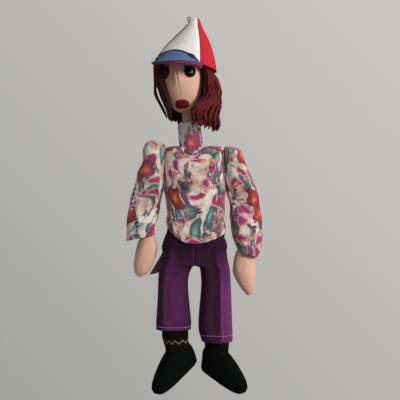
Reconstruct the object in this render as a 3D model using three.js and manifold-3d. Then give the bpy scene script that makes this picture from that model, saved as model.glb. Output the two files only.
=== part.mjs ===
// A stuffed cloth marionette that hangs from a wire eye at the tip of its pointed cap.
// Millimetres, +Z up. The doll faces -Y, and right and left are its own, so its right is at -X.
// The origin is the centre of the wire eye.

import * as THREE from 'three';
import Module from 'manifold-3d';

const wasm = await Module();
wasm.setup();
const { Manifold, Mesh } = wasm;

// Clearances and stock
const gap = 0.3;
const cloth = 1.8;
const felt = 2.2;
const hingeCord = 1.2;
const cordSpace = hingeCord + gap;

// Wire eye and the cap
const eyeRing = 2.5;
const wire = 0.8;
const shankLength = 22;
const capHeight = 66.1;
const capLean = 12.7;
const rimRadius = 43.3;
const tipRadius = 5;
const capBelly = 3.5;
const bellyHeight = 0.38;
const bellySpread = 0.42;
const rimTilt = 13.2;
const borders = [-94, 26, 146];
const peakTurn = -19.5;
const peakHalfAngle = 43;
const peakReach = 25;
const peakRise = 13;
const peakDroop = 16;
const peakEndDroop = 9;
const peakCurl = 4.5;
const peakEnd = 4;
const peakThickness = 1.7;
const liningThickness = 1.4;

// Head, face and hair
const headWidth = 62;
const headDepth = 62;
const headHeight = 98;
const headRoll = 6.4;
const headTurn = 10;
const noseHeight = 4.6;
const eyeRadius = 8.2;
const eyeBulge = 4.6;
const eyeAngle = 35;
const eyeTip = 0.12;
const eyeRises = { right: 8.4, left: 5.1 };
const mouthWidth = 19.6;
const mouthHeight = 14;
const mouthDrop = 38.4;
const mouthThickness = 1.3;
const hairClearance = 36;
const lockDepth = 1.5;
const hairTuck = 7;

// Neck
const neckRadius = 9;
const neckBall = 11;
const collarRadius = 17.5;
const collarStart = 34;
const collarEnd = 81;
const pegRadius = 6;
const beadRadius = 9;
const beadStart = 104;
const beadLength = 12;
const nodAngle = 15;

// Body
const bodyHalfWidth = 44.5;
const coreLength = 109;
const bodyLength = 144;
const bodyTop = 0.4;
const hemStart = 112;
const hemLow = 142;
const hemLift = 7;
const tailLength = 50;
const tailThickness = 1.6;
const tailFlare = 13;
const hipFront = 22;
const kneeBack = 20;
const thighLength = 73;
const legGap = 0.6;
const backSwing = 12;
const armGap = 1.5;
const tapeReach = 7;
const tapeOut = 2.2;

// Arms: rows are drop below the shoulder, inner edge, outer edge
const elbowDrop = 82.5;
const sleeveDepth = 19;
const elbowSlope = 0.9;
const arms = {
  right: {
    side: -1,
    upper: [[-10.5, 11, 20], [-8.5, 8, 24.5], [-3.5, 6, 27.5], [0, 3.6, 29.4], [4.5, 3.6, 30],
      [19.5, 2.6, 30.2], [33.5, 0.6, 36.3], [51.5, 0.6, 40.5], [67.5, 1.2, 46.3], [82.5, 3.2, 49.3]],
    lower: [[82.5, 3.2, 49.3], [101.5, 6.8, 52.4], [112.5, 10.2, 53.3], [123.5, 13.6, 53.7],
      [128.5, 15, 53.4]],
    cuffSlant: 4,
    wrist: 129.5,
    wristOut: 25.5,
    handRows: [[0, 0, 7.5, 8], [5, 0.2, 11.5, 10.5], [12, 0.6, 14, 12], [22, 2.8, 14.4, 12.4],
      [38, 5.6, 12.8, 11], [49, 6.6, 9, 8], [53.5, 7, 5, 5]],
  },
  left: {
    side: 1,
    upper: [[-1.5, 6.5, 12], [0, 3.6, 16], [2.5, 3.6, 19], [4.5, 3.6, 21.4], [13.5, 3, 24.7],
      [27.5, 1.2, 30.2], [47.5, 0.6, 39.6], [67.5, 0.9, 46.7], [82.5, 4.6, 48]],
    lower: [[82.5, 4.6, 48], [100.5, 3.9, 50.6], [117.5, 6, 51.9], [135.5, 9.9, 51.2],
      [146.5, 13.6, 48.4], [151.5, 15.4, 46]],
    cuffSlant: 5,
    wrist: 151.5,
    wristOut: 28,
    handRows: [[0, 0, 8, 8], [6, -0.6, 12, 10.5], [14, -2.2, 15.4, 12], [24, -2.8, 16.4, 12.6],
      [33, -2.6, 15.6, 12], [45, -1.2, 11.4, 9.6], [54, 0.8, 7.6, 7], [59.5, 1.8, 4, 4]],
  },
};
const shoulderDrop = 3.5;
const wristBall = 9;
const wristHalf = 7.4;
const cuffDepth = 6;
const cuffWall = 2.4;

// Legs: rows are drop below the hip, inner edge and outer edge from the middle of the body
const legs = {
  right: {
    side: -1,
    upper: [[0, 0, 44.6], [13, 0, 46.2], [25, 0.2, 47.6], [31, 4.6, 48.6], [39, 7.4, 49.9], [53, 9.8, 52],
      [73, 8.7, 52.8]],
    lower: [[73, 8.7, 52.8], [100, 6.8, 54.3], [114, 5.8, 55], [120, 6.4, 54.6], [123, 8, 52.6]],
    ankleDrop: 149,
    ankleOut: 25.6,
    pitch: 32,
  },
  left: {
    side: 1,
    upper: [[0, 0, 44.4], [13, 0, 46.6], [25, 1, 47.8], [31, 5.2, 48.2], [39, 7.4, 48.6], [53, 8.7, 49],
      [73, 7, 49.9]],
    lower: [[73, 7, 49.9], [100, 5.2, 52.2], [120, 5.4, 53.4], [132, 8.4, 53.4], [137, 11, 52.4],
      [140, 13.6, 50.4]],
    ankleDrop: 153,
    ankleOut: 31.4,
    pitch: 22,
  },
};
const legFront = 21.6;
const splay = 60;
const sockAlong = 17;
const sockAcross = 13.6;
const sockSocket = 17.4;
const hemWall = 2;
const hemRun = 30;
const lowestPitch = 36;

// Boots: rows are distance along the foot from the ankle, top, sole and half-width
const bootRows = [[-20, -9, -20, 5], [-18.5, -5, -28, 10], [-13, -2, -33.5, 13], [0, -1, -36, 14.6],
  [16, 0, -37.5, 14.8], [27, -1.5, -38.5, 15], [40, -7, -39, 14], [51, -13, -38.5, 10.5],
  [58, -18, -36, 6.8], [61.5, -22, -32, 3]];

const rad = THREE.MathUtils.degToRad;
const at = (x, y, z) => new THREE.Vector3(x, y, z);
const from = (place, x, y, z) => place.clone().add(at(x, y, z));
const mix = THREE.MathUtils.lerp;

// Places down the doll, each set from the one above it
const origin = at(0, 0, 0);
const capTip = from(origin, 10, 0, 0);
const capRim = from(capTip, -capLean, 0, -capHeight);
const headCentre = from(capRim, -8.1, 0, -20.3);
const neckPivot = from(headCentre, 7.8, 9, -31.6);
const neckRoot = from(neckPivot, 7.5, -9, -82);
const chest = from(neckRoot, 3.8, 0, 17);
const hips = from(chest, 0.3, 0, -bodyLength);

// Solids

// Closes a grid of points into a solid: rows are closed loops, and each end gets a fan or, for a
// tube, the last row joins the first
function skin(rows, asTube = false) {
  const count = rows[0].length;
  const points = rows.flat();
  const triangles = [];
  const last = asTube ? rows.length : rows.length - 1;
  for (let r = 0; r < last; r += 1) {
    const low = r * count;
    const high = ((r + 1) % rows.length) * count;
    for (let i = 0; i < count; i += 1) {
      const next = (i + 1) % count;
      triangles.push([low + i, low + next, high + next], [low + i, high + next, high + i]);
    }
  }
  if (!asTube) {
    for (const [row, flip] of [[0, true], [rows.length - 1, false]]) {
      const middle = points.length;
      const sum = rows[row].reduce((total, p) => total.add(p), at(0, 0, 0));
      points.push(sum.divideScalar(count));
      for (let i = 0; i < count; i += 1) {
        const a = row * count + i;
        const b = row * count + ((i + 1) % count);
        triangles.push(flip ? [middle, b, a] : [middle, a, b]);
      }
    }
  }
  return solidOf(points, triangles);
}

// A thin solid between two surfaces, each given as a function of u and v from 0 to 1
function slab(columns, rows, front, back) {
  const points = [];
  const triangles = [];
  const index = (side, i, j) => (side * (columns + 1) + i) * (rows + 1) + j;
  for (const surface of [front, back]) {
    for (let i = 0; i <= columns; i += 1) {
      for (let j = 0; j <= rows; j += 1) points.push(surface(i / columns, j / rows));
    }
  }
  const quad = (a, b, c, d) => triangles.push([a, b, c], [a, c, d]);
  for (let i = 0; i < columns; i += 1) {
    for (let j = 0; j < rows; j += 1) {
      quad(index(0, i, j), index(0, i + 1, j), index(0, i + 1, j + 1), index(0, i, j + 1));
      quad(index(1, i, j), index(1, i, j + 1), index(1, i + 1, j + 1), index(1, i + 1, j));
    }
  }
  for (let i = 0; i < columns; i += 1) {
    quad(index(0, i, 0), index(1, i, 0), index(1, i + 1, 0), index(0, i + 1, 0));
    quad(index(0, i, rows), index(0, i + 1, rows), index(1, i + 1, rows), index(1, i, rows));
  }
  for (let j = 0; j < rows; j += 1) {
    quad(index(0, 0, j), index(0, 0, j + 1), index(1, 0, j + 1), index(1, 0, j));
    quad(index(0, columns, j), index(1, columns, j), index(1, columns, j + 1), index(0, columns, j + 1));
  }
  return solidOf(points, triangles);
}

function solidOf(points, triangles) {
  let volume = 0;
  for (const [a, b, c] of triangles) {
    volume += points[a].dot(points[b].clone().cross(points[c]));
  }
  const mesh = new Mesh({
    numProp: 3,
    vertProperties: new Float32Array(points.flatMap((p) => [p.x, p.y, p.z])),
    triVerts: new Uint32Array(triangles.flatMap(([a, b, c]) => (volume > 0 ? [a, b, c] : [a, c, b]))),
  });
  mesh.merge();
  return new Manifold(mesh);
}

function meshOf(name, solid) {
  const mesh = solid.getMesh();
  const geometry = new THREE.BufferGeometry();
  const corners = new Float32Array(mesh.numVert * 3);
  for (let i = 0; i < mesh.numVert; i += 1) {
    for (let k = 0; k < 3; k += 1) corners[i * 3 + k] = mesh.vertProperties[i * mesh.numProp + k];
  }
  geometry.setAttribute('position', new THREE.BufferAttribute(corners, 3));
  geometry.setIndex(new THREE.BufferAttribute(new Uint32Array(mesh.triVerts), 1));
  geometry.computeVertexNormals();
  const node = new THREE.Mesh(geometry);
  node.name = name;
  return node;
}

// A closed loop of points on a rounded oval in the plane of two directions
function oval(centre, across, deep, halfAcross, halfDeep, power = 2.3, sides = 24) {
  const loop = [];
  for (let i = 0; i < sides; i += 1) {
    const angle = (i / sides) * 2 * Math.PI;
    const c = Math.cos(angle);
    const s = Math.sin(angle);
    loop.push(centre.clone()
      .addScaledVector(across, halfAcross * Math.sign(c) * Math.abs(c) ** (2 / power))
      .addScaledVector(deep, halfDeep * Math.sign(s) * Math.abs(s) ** (2 / power)));
  }
  return loop;
}

// Reads a table of rows at a place between them, along a smooth curve through its columns
function along(table, place) {
  let i = 0;
  while (i < table.length - 2 && place > table[i + 1][0]) i += 1;
  const [a, b] = [table[i], table[i + 1]];
  const before = table[Math.max(i - 1, 0)];
  const after = table[Math.min(i + 2, table.length - 1)];
  const span = b[0] - a[0];
  const t = (place - a[0]) / span;
  return a.map((value, k) => {
    const slopeA = ((b[k] - before[k]) / (b[0] - before[0])) * span;
    const slopeB = ((after[k] - a[k]) / (after[0] - a[0])) * span;
    return value * (2 * t ** 3 - 3 * t ** 2 + 1) + slopeA * (t ** 3 - 2 * t ** 2 + t)
      + b[k] * (3 * t ** 2 - 2 * t ** 3) + slopeB * (t ** 3 - t ** 2);
  });
}

// The table's own places with extra ones between them, about one every given step
function places(table, step) {
  const list = [table[0][0]];
  for (let i = 1; i < table.length; i += 1) {
    const [a, b] = [table[i - 1][0], table[i][0]];
    const parts = Math.max(1, Math.round(Math.abs(b - a) / step));
    for (let k = 1; k <= parts; k += 1) list.push(mix(a, b, k / parts));
  }
  return list;
}

// A rod between two points
function rod(start, end, radius, sides = 12) {
  const run = end.clone().sub(start);
  const turn = new THREE.Quaternion().setFromUnitVectors(at(0, 0, 1), run.clone().normalize());
  const across = at(1, 0, 0).applyQuaternion(turn);
  const deep = at(0, 1, 0).applyQuaternion(turn);
  return skin([start, end].map((p) => oval(p, across, deep, radius, radius, 2, sides)));
}

// A tube of even radius through a line of points
function tube(line, radius, sides = 8) {
  let deep = at(0, 1, 0);
  return skin(line.map((p, i) => {
    const run = line[Math.min(i + 1, line.length - 1)].clone().sub(line[Math.max(i - 1, 0)]).normalize();
    const across = deep.clone().cross(run).normalize();
    deep = run.clone().cross(across);
    return oval(p, across, deep, radius, radius, 2, sides);
  }));
}

const xAxis = at(1, 0, 0);
const yAxis = at(0, 1, 0);

// Cap
const capTurn = rad(rimTilt);

// A point of the cap's outside, set in by a depth: angle from the front, height from 0 at the rim to 1
function capPoint(angle, height, depth = 0) {
  const belly = capBelly * Math.max(0, 1 - ((height - bellyHeight) / bellySpread) ** 2);
  const radius = mix(rimRadius, tipRadius, height) + belly - depth;
  const tilt = capTurn * (1 - height);
  const across = radius * Math.sin(angle);
  return capRim.clone().lerp(capTip, height)
    .add(at(across * Math.cos(tilt), -radius * Math.cos(angle), -across * Math.sin(tilt)));
}

const capSides = 27;

function capSolid(low, high, depth) {
  const rows = [];
  for (let j = 0; j <= 5; j += 1) {
    const loop = [];
    for (let i = 0; i < capSides; i += 1) {
      loop.push(capPoint(rad(borders[0] + (i / capSides) * 360), mix(low, high, j / 5), depth));
    }
    rows.push(loop);
  }
  return skin(rows);
}

// The felt of the cap with a clearance all round, and all that lies within its outside
const capSpace = capSolid(-gap / capHeight, 1, -gap);
const capFelt = capSpace.subtract(capSolid(-0.05, 0.95, felt + gap));

const shank = rod(from(origin, 0, 0, -eyeRing), from(origin, 0, 0, -shankLength), wire, 10);
const shankSpace = rod(from(origin, 0, 0, -eyeRing), from(origin, 0, 0, -shankLength - gap), wire + gap, 10);

function wireEye() {
  const rows = [];
  for (let i = 0; i < 18; i += 1) {
    const angle = (i / 18) * 2 * Math.PI;
    const out = at(Math.cos(angle), 0, Math.sin(angle));
    rows.push(oval(out.clone().multiplyScalar(eyeRing).add(origin), out, yAxis, wire, wire, 2, 8));
  }
  return skin(rows, true).add(shank);
}

function capPanel(index) {
  const start = rad(borders[index]);
  const end = rad(borders[(index + 1) % 3] + (index === 2 ? 360 : 0));
  const surface = (depth) => (u, v) => {
    const trim = (gap / 2) / capPoint(0, v, depth).distanceTo(capRim.clone().lerp(capTip, v));
    return capPoint(mix(start + trim, end - trim, u), v, depth);
  };
  return slab(capSides / 3, 7, surface(0), surface(felt)).subtract(shankSpace);
}

// Head, in its own place before it is rolled and turned
const headTurning = new THREE.Quaternion()
  .setFromAxisAngle(yAxis, -rad(headRoll))
  .multiply(new THREE.Quaternion().setFromAxisAngle(at(0, 0, 1), -rad(headTurn)));
const onHead = (p) => p.applyQuaternion(headTurning).add(headCentre);

// A point of the face, given across and up from its middle, set out by a depth
function facePoint(x, z, out = 0) {
  const [a, b, c] = [headWidth / 2 + out, headDepth / 2 + out, headHeight / 2 + out];
  return at(x, -b * Math.sqrt(Math.max(0, 1 - (x / a) ** 2 - (z / c) ** 2)), z);
}

// The nose is a pinched ridge along the middle seam, highest a little below the eyes
function noseAt(turn, rise) {
  const length = rise > -0.05 ? 0.3 : 0.13;
  return noseHeight * Math.exp(-((turn / 0.24) ** 2)) * Math.exp(-(((rise + 0.05) / length) ** 2));
}

function headSolid(out) {
  const rows = [];
  const levels = 16;
  const sides = 28;
  for (let j = 1; j < levels; j += 1) {
    const rise = mix(-Math.PI / 2, Math.PI / 2, j / levels);
    const loop = [];
    for (let i = 0; i < sides; i += 1) {
      const turn = ((i / sides) * 2 - 1) * Math.PI;
      loop.push(onHead(at(
        (headWidth / 2 + out) * Math.sin(turn) * Math.cos(rise),
        -(headDepth / 2 + out) * Math.cos(turn) * Math.cos(rise) - noseAt(turn, Math.sin(rise)),
        (headHeight / 2 + out) * Math.sin(rise),
      )));
    }
    rows.push(loop);
  }
  return skin(rows);
}

const headSpace = headSolid(gap);
const neckRun = neckRoot.clone().sub(neckPivot).normalize();
const onNeck = (distance) => neckPivot.clone().addScaledVector(neckRun, distance);
const neckTurning = new THREE.Quaternion().setFromUnitVectors(at(0, 0, -1), neckRun);
const neckAcross = xAxis.clone().applyQuaternion(neckTurning);
const neckDeep = yAxis.clone().applyQuaternion(neckTurning);

// A turned solid about the neck's line: rows are distance below the pivot and radius
function onNeckLine(profile, sides = 22) {
  return skin(profile.map(([distance, radius]) => (
    oval(onNeck(distance), neckAcross, neckDeep, radius, radius, 2, sides))));
}

function ballRows(radius, stem) {
  const rows = [];
  const end = Math.PI - Math.asin(stem / radius);
  for (let i = 0; i <= 7; i += 1) {
    const angle = mix(0.12, end, i / 7);
    rows.push([-radius * Math.cos(angle), radius * Math.sin(angle)]);
  }
  return rows;
}

// Room for the neck's swing: the stem's space at each end of the nod, with all that lies between
function neckSwing() {
  const swings = [];
  for (const angle of [-nodAngle - 1, 0, nodAngle + 1]) {
    const turn = new THREE.Quaternion().setFromAxisAngle(xAxis, rad(angle));
    const end = neckRun.clone().applyQuaternion(turn).multiplyScalar(collarStart).add(neckPivot);
    swings.push(rod(neckPivot, end, neckRadius + gap, 20));
  }
  return Manifold.hull(swings);
}

function head() {
  const socket = onNeckLine(ballRows(neckBall + gap, neckRadius / 2));
  return headSolid(0).subtract(socket).subtract(neckSwing());
}

function eye(name) {
  const turn = arms[name].side * rad(eyeAngle);
  const spot = facePoint((headWidth / 2) * Math.sin(turn), eyeRises[name]);
  const out = at(Math.sin(turn), -Math.cos(turn), eyeTip).normalize();
  const across = at(Math.cos(turn), Math.sin(turn), 0);
  const up = out.clone().cross(across);
  const rows = [];
  for (let j = 1; j < 8; j += 1) {
    const angle = (j / 8) * Math.PI;
    rows.push(oval(spot.clone().addScaledVector(out, eyeBulge * Math.cos(angle)), across, up,
      eyeRadius * Math.sin(angle), eyeRadius * Math.sin(angle), 2, 16).map(onHead));
  }
  return skin(rows).subtract(headSpace);
}

function mouth() {
  const disc = (out) => (u, v) => {
    const angle = v * Math.PI;
    const x = (mouthWidth / 2) * (2 * u - 1) * Math.max(0.2, Math.sin(angle));
    const z = -mouthDrop + (mouthHeight / 2) * Math.cos(angle);
    return onHead(facePoint(x, z, out));
  };
  return slab(6, 8, disc(mouthThickness + gap), disc(-mouthThickness)).subtract(headSpace);
}

// Hair: a thick bob in three parts, tucked under the cap and fitted to the head

// Rows are height from the head's middle, then reach to the right, to the left, behind and in front
const hairRows = [[-72, 37, 46, 43, 36], [-58, 37, 49, 45, 37], [-45, 37, 50, 46, 38], [-33, 38, 54, 47, 38],
  [-22, 40, 56, 47, 37], [-8, 40, 54, 46, 37], [4, 39.5, 52, 46, 38], [20, 38, 48, 44, 38]];
const hairEnds = [[-180, -148], [-130, -143], [-75, -139], [-50, -146], [0, -153], [30, -153], [70, -155],
  [100, -158], [140, -153], [180, -148]];
const hairParts = {
  right: { start: () => -149, end: (z) => along([[-70, -52], [-50, -62], [-20, -76], [20, -74]], z)[1] },
  left: { start: (z) => along([[-70, 13], [-50, 16], [-28, 42], [-8, 58], [20, 62]], z)[1], end: () => 149 },
  back: { start: () => 149, end: () => 211 },
};

function hairOut(angle, z) {
  const [, right, left, behind, ahead] = along(hairRows, z);
  const across = Math.sin(angle) < 0 ? right : left;
  const deep = Math.cos(angle) < 0 ? behind : ahead;
  const lock = lockDepth * Math.cos(angle * 15);
  return 1 / Math.hypot(Math.sin(angle) / across, Math.cos(angle) / deep) + lock;
}

function hair(part) {
  const { start, end } = hairParts[part];
  const headAxis = (z) => from(headCentre, -z * Math.tan(rad(headRoll)), 0, z);
  const place = (u, v) => {
    const rough = mix(20, -60, v);
    const angle = rad(mix(start(rough), end(rough), u));
    const turned = THREE.MathUtils.euclideanModulo(THREE.MathUtils.radToDeg(angle) + 180, 360) - 180;
    const ragged = 3 * Math.sin(angle * 11) + 2 * Math.sin(angle * 23);
    const low = along(hairEnds, turned)[1] + ragged - headCentre.z;
    const rim = capPoint(angle, 0).z - headCentre.z - 1;
    return { angle, low, rim };
  };
  const outside = (u, v) => {
    const { angle, low, rim } = place(u, v);
    if (v < 0.15) return capPoint(angle, (hairTuck / capHeight) * (1 - v / 0.1), felt + gap);
    const z = mix(rim, low, (v - 0.15) / 0.85);
    const reach = hairOut(angle, z) * Math.min(1, 0.92 + (v - 0.15) * 0.8);
    return from(headAxis(z), reach * Math.sin(angle), -reach * Math.cos(angle), 0);
  };
  const inside = (u, v) => {
    const { angle, low, rim } = place(u, v);
    const z = mix(rim + hairTuck, low, v);
    const clear = hairClearance - 3.5 * Math.max(0, Math.cos(angle));
    const reach = mix(20, clear, THREE.MathUtils.smoothstep(-z, 8, 36));
    return from(headAxis(z), reach * Math.sin(angle), -reach * Math.cos(angle), 0);
  };
  return slab(12, 12, outside, inside).subtract(headSpace).subtract(headSwing()).subtract(capFelt);
}

// Room for the neck's collar as the head nods
function headSwing() {
  const swings = [];
  for (const angle of [-nodAngle - 1, 0, nodAngle + 1]) {
    const turn = new THREE.Quaternion().setFromAxisAngle(xAxis, rad(angle));
    const down = neckRun.clone().applyQuaternion(turn);
    swings.push(rod(neckPivot.clone().addScaledVector(down, collarStart - gap),
      neckPivot.clone().addScaledVector(down, collarEnd), collarRadius + gap, 20));
  }
  return Manifold.hull(swings);
}

// Peak: its root lies on the cap in an arch, and its edge curls up in front
function peakPoint(u, v) {
  const s = 2 * u - 1;
  const angle = rad(peakTurn + s * peakHalfAngle);
  const root = capPoint(angle, (peakRise / capHeight) * (1 - s * s) + 0.012, -gap);
  const edge = capPoint(angle + rad(s * 5), 0, -(peakEnd + peakReach * (1 - s * s)));
  const p = root.clone().lerp(edge, v);
  const low = edge.z - mix(peakDroop, peakEndDroop, s * s);
  p.z = mix(root.z, low, v ** 1.25) + peakCurl * THREE.MathUtils.smoothstep(v, 0.74, 1);
  return p;
}

// A surface moved along its own normal
function shifted(surface, distance) {
  const step = 0.01;
  return (u, v) => {
    const [u0, u1] = [Math.max(0, u - step), Math.min(1, u + step)];
    const [v0, v1] = [Math.max(0, v - step), Math.min(1, v + step)];
    const alongU = surface(u1, v).sub(surface(u0, v));
    const alongV = surface(u, v1).sub(surface(u, v0));
    return surface(u, v).addScaledVector(alongU.cross(alongV).normalize(), distance);
  };
}

// One layer of the peak, from one depth to another, cut to the cap
function peakLayer(top, under) {
  const layer = slab(14, 8, shifted(peakPoint, top), shifted(peakPoint, under)).subtract(capSpace);
  return layer.decompose().sort((a, b) => b.volume() - a.volume())[0];
}

function capPiping() {
  const line = [];
  for (let i = 0; i <= 9; i += 1) {
    line.push(capPoint(rad(borders[0]), mix(0.02, 0.82, i / 9), -wire - 2 * gap));
  }
  return tube(line, wire, 6);
}

// Body: rows are drop below the shoulders, how far the right and left sides are drawn in, and depth
const bodyRows = [[0.4, 14, 9, 9], [1.2, 6, 3.6, 12], [2.6, 0.9, 0.9, 15], [5, 0.1, 0.1, 18],
  [9, 0, 0, 20.5], [17, 0, 0, 23], [37, 0, 0, 25.5], [62, 0.2, 0, 26], [78, 1.6, 0, 26], [95, 4, 0, 26],
  [108, 3.4, -0.2, 26], [121, 4.8, -0.2, 26.6], [142, 5, 0.2, 27.6], [150, 5, 0.4, 28]];

function bodyLoop(drop, depth, sides = 26) {
  const [, right, left, deep] = along(bodyRows, drop);
  const low = -bodyHalfWidth + right + depth;
  const high = bodyHalfWidth - left - depth;
  const middle = from(chest, (low + high) / 2, 0, -drop);
  return oval(middle, xAxis, yAxis, (high - low) / 2, deep - depth, 2.5, sides);
}

function bodySolid(first, last, depth) {
  const rows = places(bodyRows, 20).filter((drop) => drop > first && drop < last);
  return skin([first, ...rows, last].map((drop) => bodyLoop(drop, depth)));
}

// Height of the blouse's edge: lowest in front of the middle, higher at the sides, level behind
function hemDrop(p) {
  const x = p.x - (chest.x - 4.7);
  const front = hemLow - x * x * (x < 0 ? 0.0169 : 0.0057);
  return mix(front, hemLow - hemLift, THREE.MathUtils.smoothstep(p.y, -6, 18));
}

const collarSpace = onNeckLine([
  [collarStart - 8, collarRadius + gap],
  [collarEnd + gap, collarRadius + gap],
]);
const neckline = skin([-30, -13].map((y) => (
  oval(from(neckRoot, 0, y, 17.5), xAxis, at(0, 0, 1), 17, 15.5, 2, 24))));

function blouse() {
  const drops = places(bodyRows, 20).filter((drop) => drop > bodyTop && drop < hemStart);
  const rows = drops.map((drop) => bodyLoop(drop, 0));
  const lowest = bodyLoop(hemStart, 0);
  for (const part of [0, 0.5, 1]) {
    rows.push(lowest.map((p, i) => {
      const drop = mix(hemStart, hemDrop(p), part);
      const q = bodyLoop(drop, 0)[i];
      return at(q.x, q.y, chest.z - drop);
    }));
  }
  const hollow = bodySolid(bodyTop + cloth, 150, cloth);
  return skin([bodyLoop(bodyTop, 0), ...rows]).subtract(hollow).subtract(collarSpace).subtract(neckline)
    .subtract(shoulderSpace('right')).subtract(shoulderSpace('left'));
}

function torso() {
  const bore = onNeckLine([[collarEnd - 2, pegRadius + gap], [beadStart - gap, pegRadius + gap]]);
  const chamber = onNeckLine([
    [beadStart - gap, beadRadius + gap],
    [beadStart + beadLength + gap, beadRadius + gap],
  ]);
  return bodySolid(bodyTop + cloth + gap, coreLength, cloth + gap)
    .subtract(collarSpace).subtract(bore).subtract(chamber).subtract(neckline)
    .subtract(shoulderSpace('right')).subtract(shoulderSpace('left'));
}

// Rows are rise above the hips and reach to the right and left of the body's middle, front and back
const seatRows = [[0, 44.8, 44.5, 22, 20], [6, 42.2, 43.8, 22, 20.5], [12, 38.2, 42.6, 22, 21],
  [bodyLength - coreLength - gap, 37.4, 42.4, 22.4, 22.4]];

function seat() {
  const solid = skin(places(seatRows, 6).map((rise) => {
    const [, right, left, front, back] = along(seatRows, rise);
    const middle = at(chest.x + (left - right) / 2, (back - front) / 2, hips.z + rise);
    return oval(middle, xAxis, yAxis, (left + right) / 2, (front + back) / 2, 2.6, 28);
  }));
  return solid.subtract(hipSpace());
}

function blouseTail() {
  const top = hemLow - hemLift + gap;
  const surface = (depth) => (u, v) => {
    const drop = top + v * tailLength - 5 * v * Math.sin(u * Math.PI);
    const x = chest.x + mix(mix(-33, -57.5, v), mix(38, 34, v), u);
    const fold = 1.6 * v * Math.sin(u * 17);
    const back = 26 - 2.6 * (2 * u - 1) ** 2 + v * tailLength * Math.tan(rad(tailFlare));
    return at(x, back - depth + fold, chest.z - drop);
  };
  return slab(16, 4, surface(0), surface(tailThickness));
}

// Arms
function shoulder(name) {
  return from(chest, arms[name].side * (bodyHalfWidth + armGap), 0, -shoulderDrop);
}

function shoulderRod(name, out, radius, half) {
  const middle = from(shoulder(name), arms[name].side * out, 0, 0);
  return rod(from(middle, 0, -half, 0), from(middle, 0, half, 0), radius);
}

function shoulderTape(name) {
  return Manifold.hull([0, tapeOut].map((out) => shoulderRod(name, out, hingeCord, tapeReach)));
}

function shoulderSpace(name) {
  return shoulderRod(name, 0, cordSpace, tapeReach + gap);
}

// Room in the sleeve for the tape's length as the arm swings round it
function tapeSweep(name) {
  const reach = arms[name].side * (tapeOut + cordSpace);
  return rod(from(shoulder(name), -reach, 0, 0), from(shoulder(name), reach, 0, 0), tapeReach + 2 * gap, 20);
}

function crossRod(name, drop, rows, radius, trim) {
  const { side } = arms[name];
  const [, inner, outer] = along(rows, drop);
  const ends = [inner + trim, outer - trim].map((x) => from(shoulder(name), side * x, 0, -drop));
  return rod(ends[0], ends[1], radius);
}

// Half the depth of a sleeve: full between its ends, drawn in to a stitched line at the elbow
function sleeveHalfDepth(drop, top) {
  const nearElbow = sleeveDepth * Math.tanh((Math.abs(drop - elbowDrop) * elbowSlope) / sleeveDepth);
  const dome = Math.min(1, (drop - top + 1.5) / 16);
  return nearElbow * Math.sqrt(1 - (1 - dome) ** 2);
}

function sleeveLoop(name, rows, drop, top, slant = 0, wall = 0) {
  const { side } = arms[name];
  const [, inner, outer] = along(rows, drop);
  const middle = from(shoulder(name), (side * (inner + outer)) / 2, 0, -drop);
  const half = (outer - inner) / 2 - wall;
  const loop = oval(middle, xAxis, yAxis, half, sleeveHalfDepth(drop, top) - wall, 2.3, 22);
  for (const p of loop) p.z -= (slant * side * (p.x - middle.x)) / half;
  return loop;
}

function sleeveUpper(name) {
  const rows = arms[name].upper;
  const top = rows[0][0];
  const drops = places(rows, 14).filter((drop) => drop < elbowDrop);
  const solid = skin([...drops, elbowDrop - 0.8].map((drop) => sleeveLoop(name, rows, drop, top)));
  return solid.subtract(crossRod(name, elbowDrop, rows, cordSpace, -5)).subtract(tapeSweep(name));
}

function sleeveLower(name) {
  const { lower: rows, cuffSlant, wrist } = arms[name];
  const top = -40;
  const last = rows[rows.length - 1][0];
  const drops = places(rows, 14).filter((drop) => drop > elbowDrop);
  const slant = (drop) => cuffSlant * THREE.MathUtils.smoothstep(drop, last - 30, last);
  const loops = [elbowDrop + 0.8, ...drops].map((drop) => sleeveLoop(name, rows, drop, top, slant(drop)));
  const solid = skin(loops);
  const opening = [last + cuffSlant + 1, wrist - cuffDepth].map((drop) => {
    const loop = sleeveLoop(name, rows, Math.min(drop, last), top, 0, cuffWall);
    return loop.map((p) => at(p.x, p.y, shoulder(name).z - drop));
  });
  return solid.subtract(crossRod(name, elbowDrop, rows, cordSpace, -5)).subtract(skin(opening))
    .subtract(wristRod(name, wristBall + gap, wristHalf + gap));
}

function wristPlace(name) {
  const { side, wrist, wristOut } = arms[name];
  return from(shoulder(name), side * wristOut, 0, -wrist);
}

function wristRod(name, radius, half) {
  return rod(from(wristPlace(name), -half, 0, 0), from(wristPlace(name), half, 0, 0), radius, 24);
}

function hand(name) {
  const { side, handRows } = arms[name];
  const centre = wristPlace(name);
  const palm = skin(places(handRows, 9).map((drop) => {
    const [, shift, half, deep] = along(handRows, drop);
    return oval(from(centre, side * shift, 0, -drop), xAxis, yAxis, half, deep, 2.2, 18);
  }));
  return palm.add(wristRod(name, wristBall, wristHalf));
}

// Legs
function legX(name, out) {
  const { side } = legs[name];
  return hips.x + side * out;
}

function legLoop(name, rows, drop, wall = 0, slope = 0) {
  const [, inner, outer] = along(rows, drop);
  const low = Math.max(inner, legGap / 2) + wall;
  const high = outer - wall;
  const middle = at(legX(name, (low + high) / 2), (kneeBack - legFront) / 2, hips.z - drop);
  const half = (high - low) / 2;
  const loop = oval(middle, xAxis, yAxis, half, (kneeBack + legFront) / 2 - wall, 2.6, 22);
  for (const p of loop) p.z -= (p.y + legFront) * slope;
  return loop;
}

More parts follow.
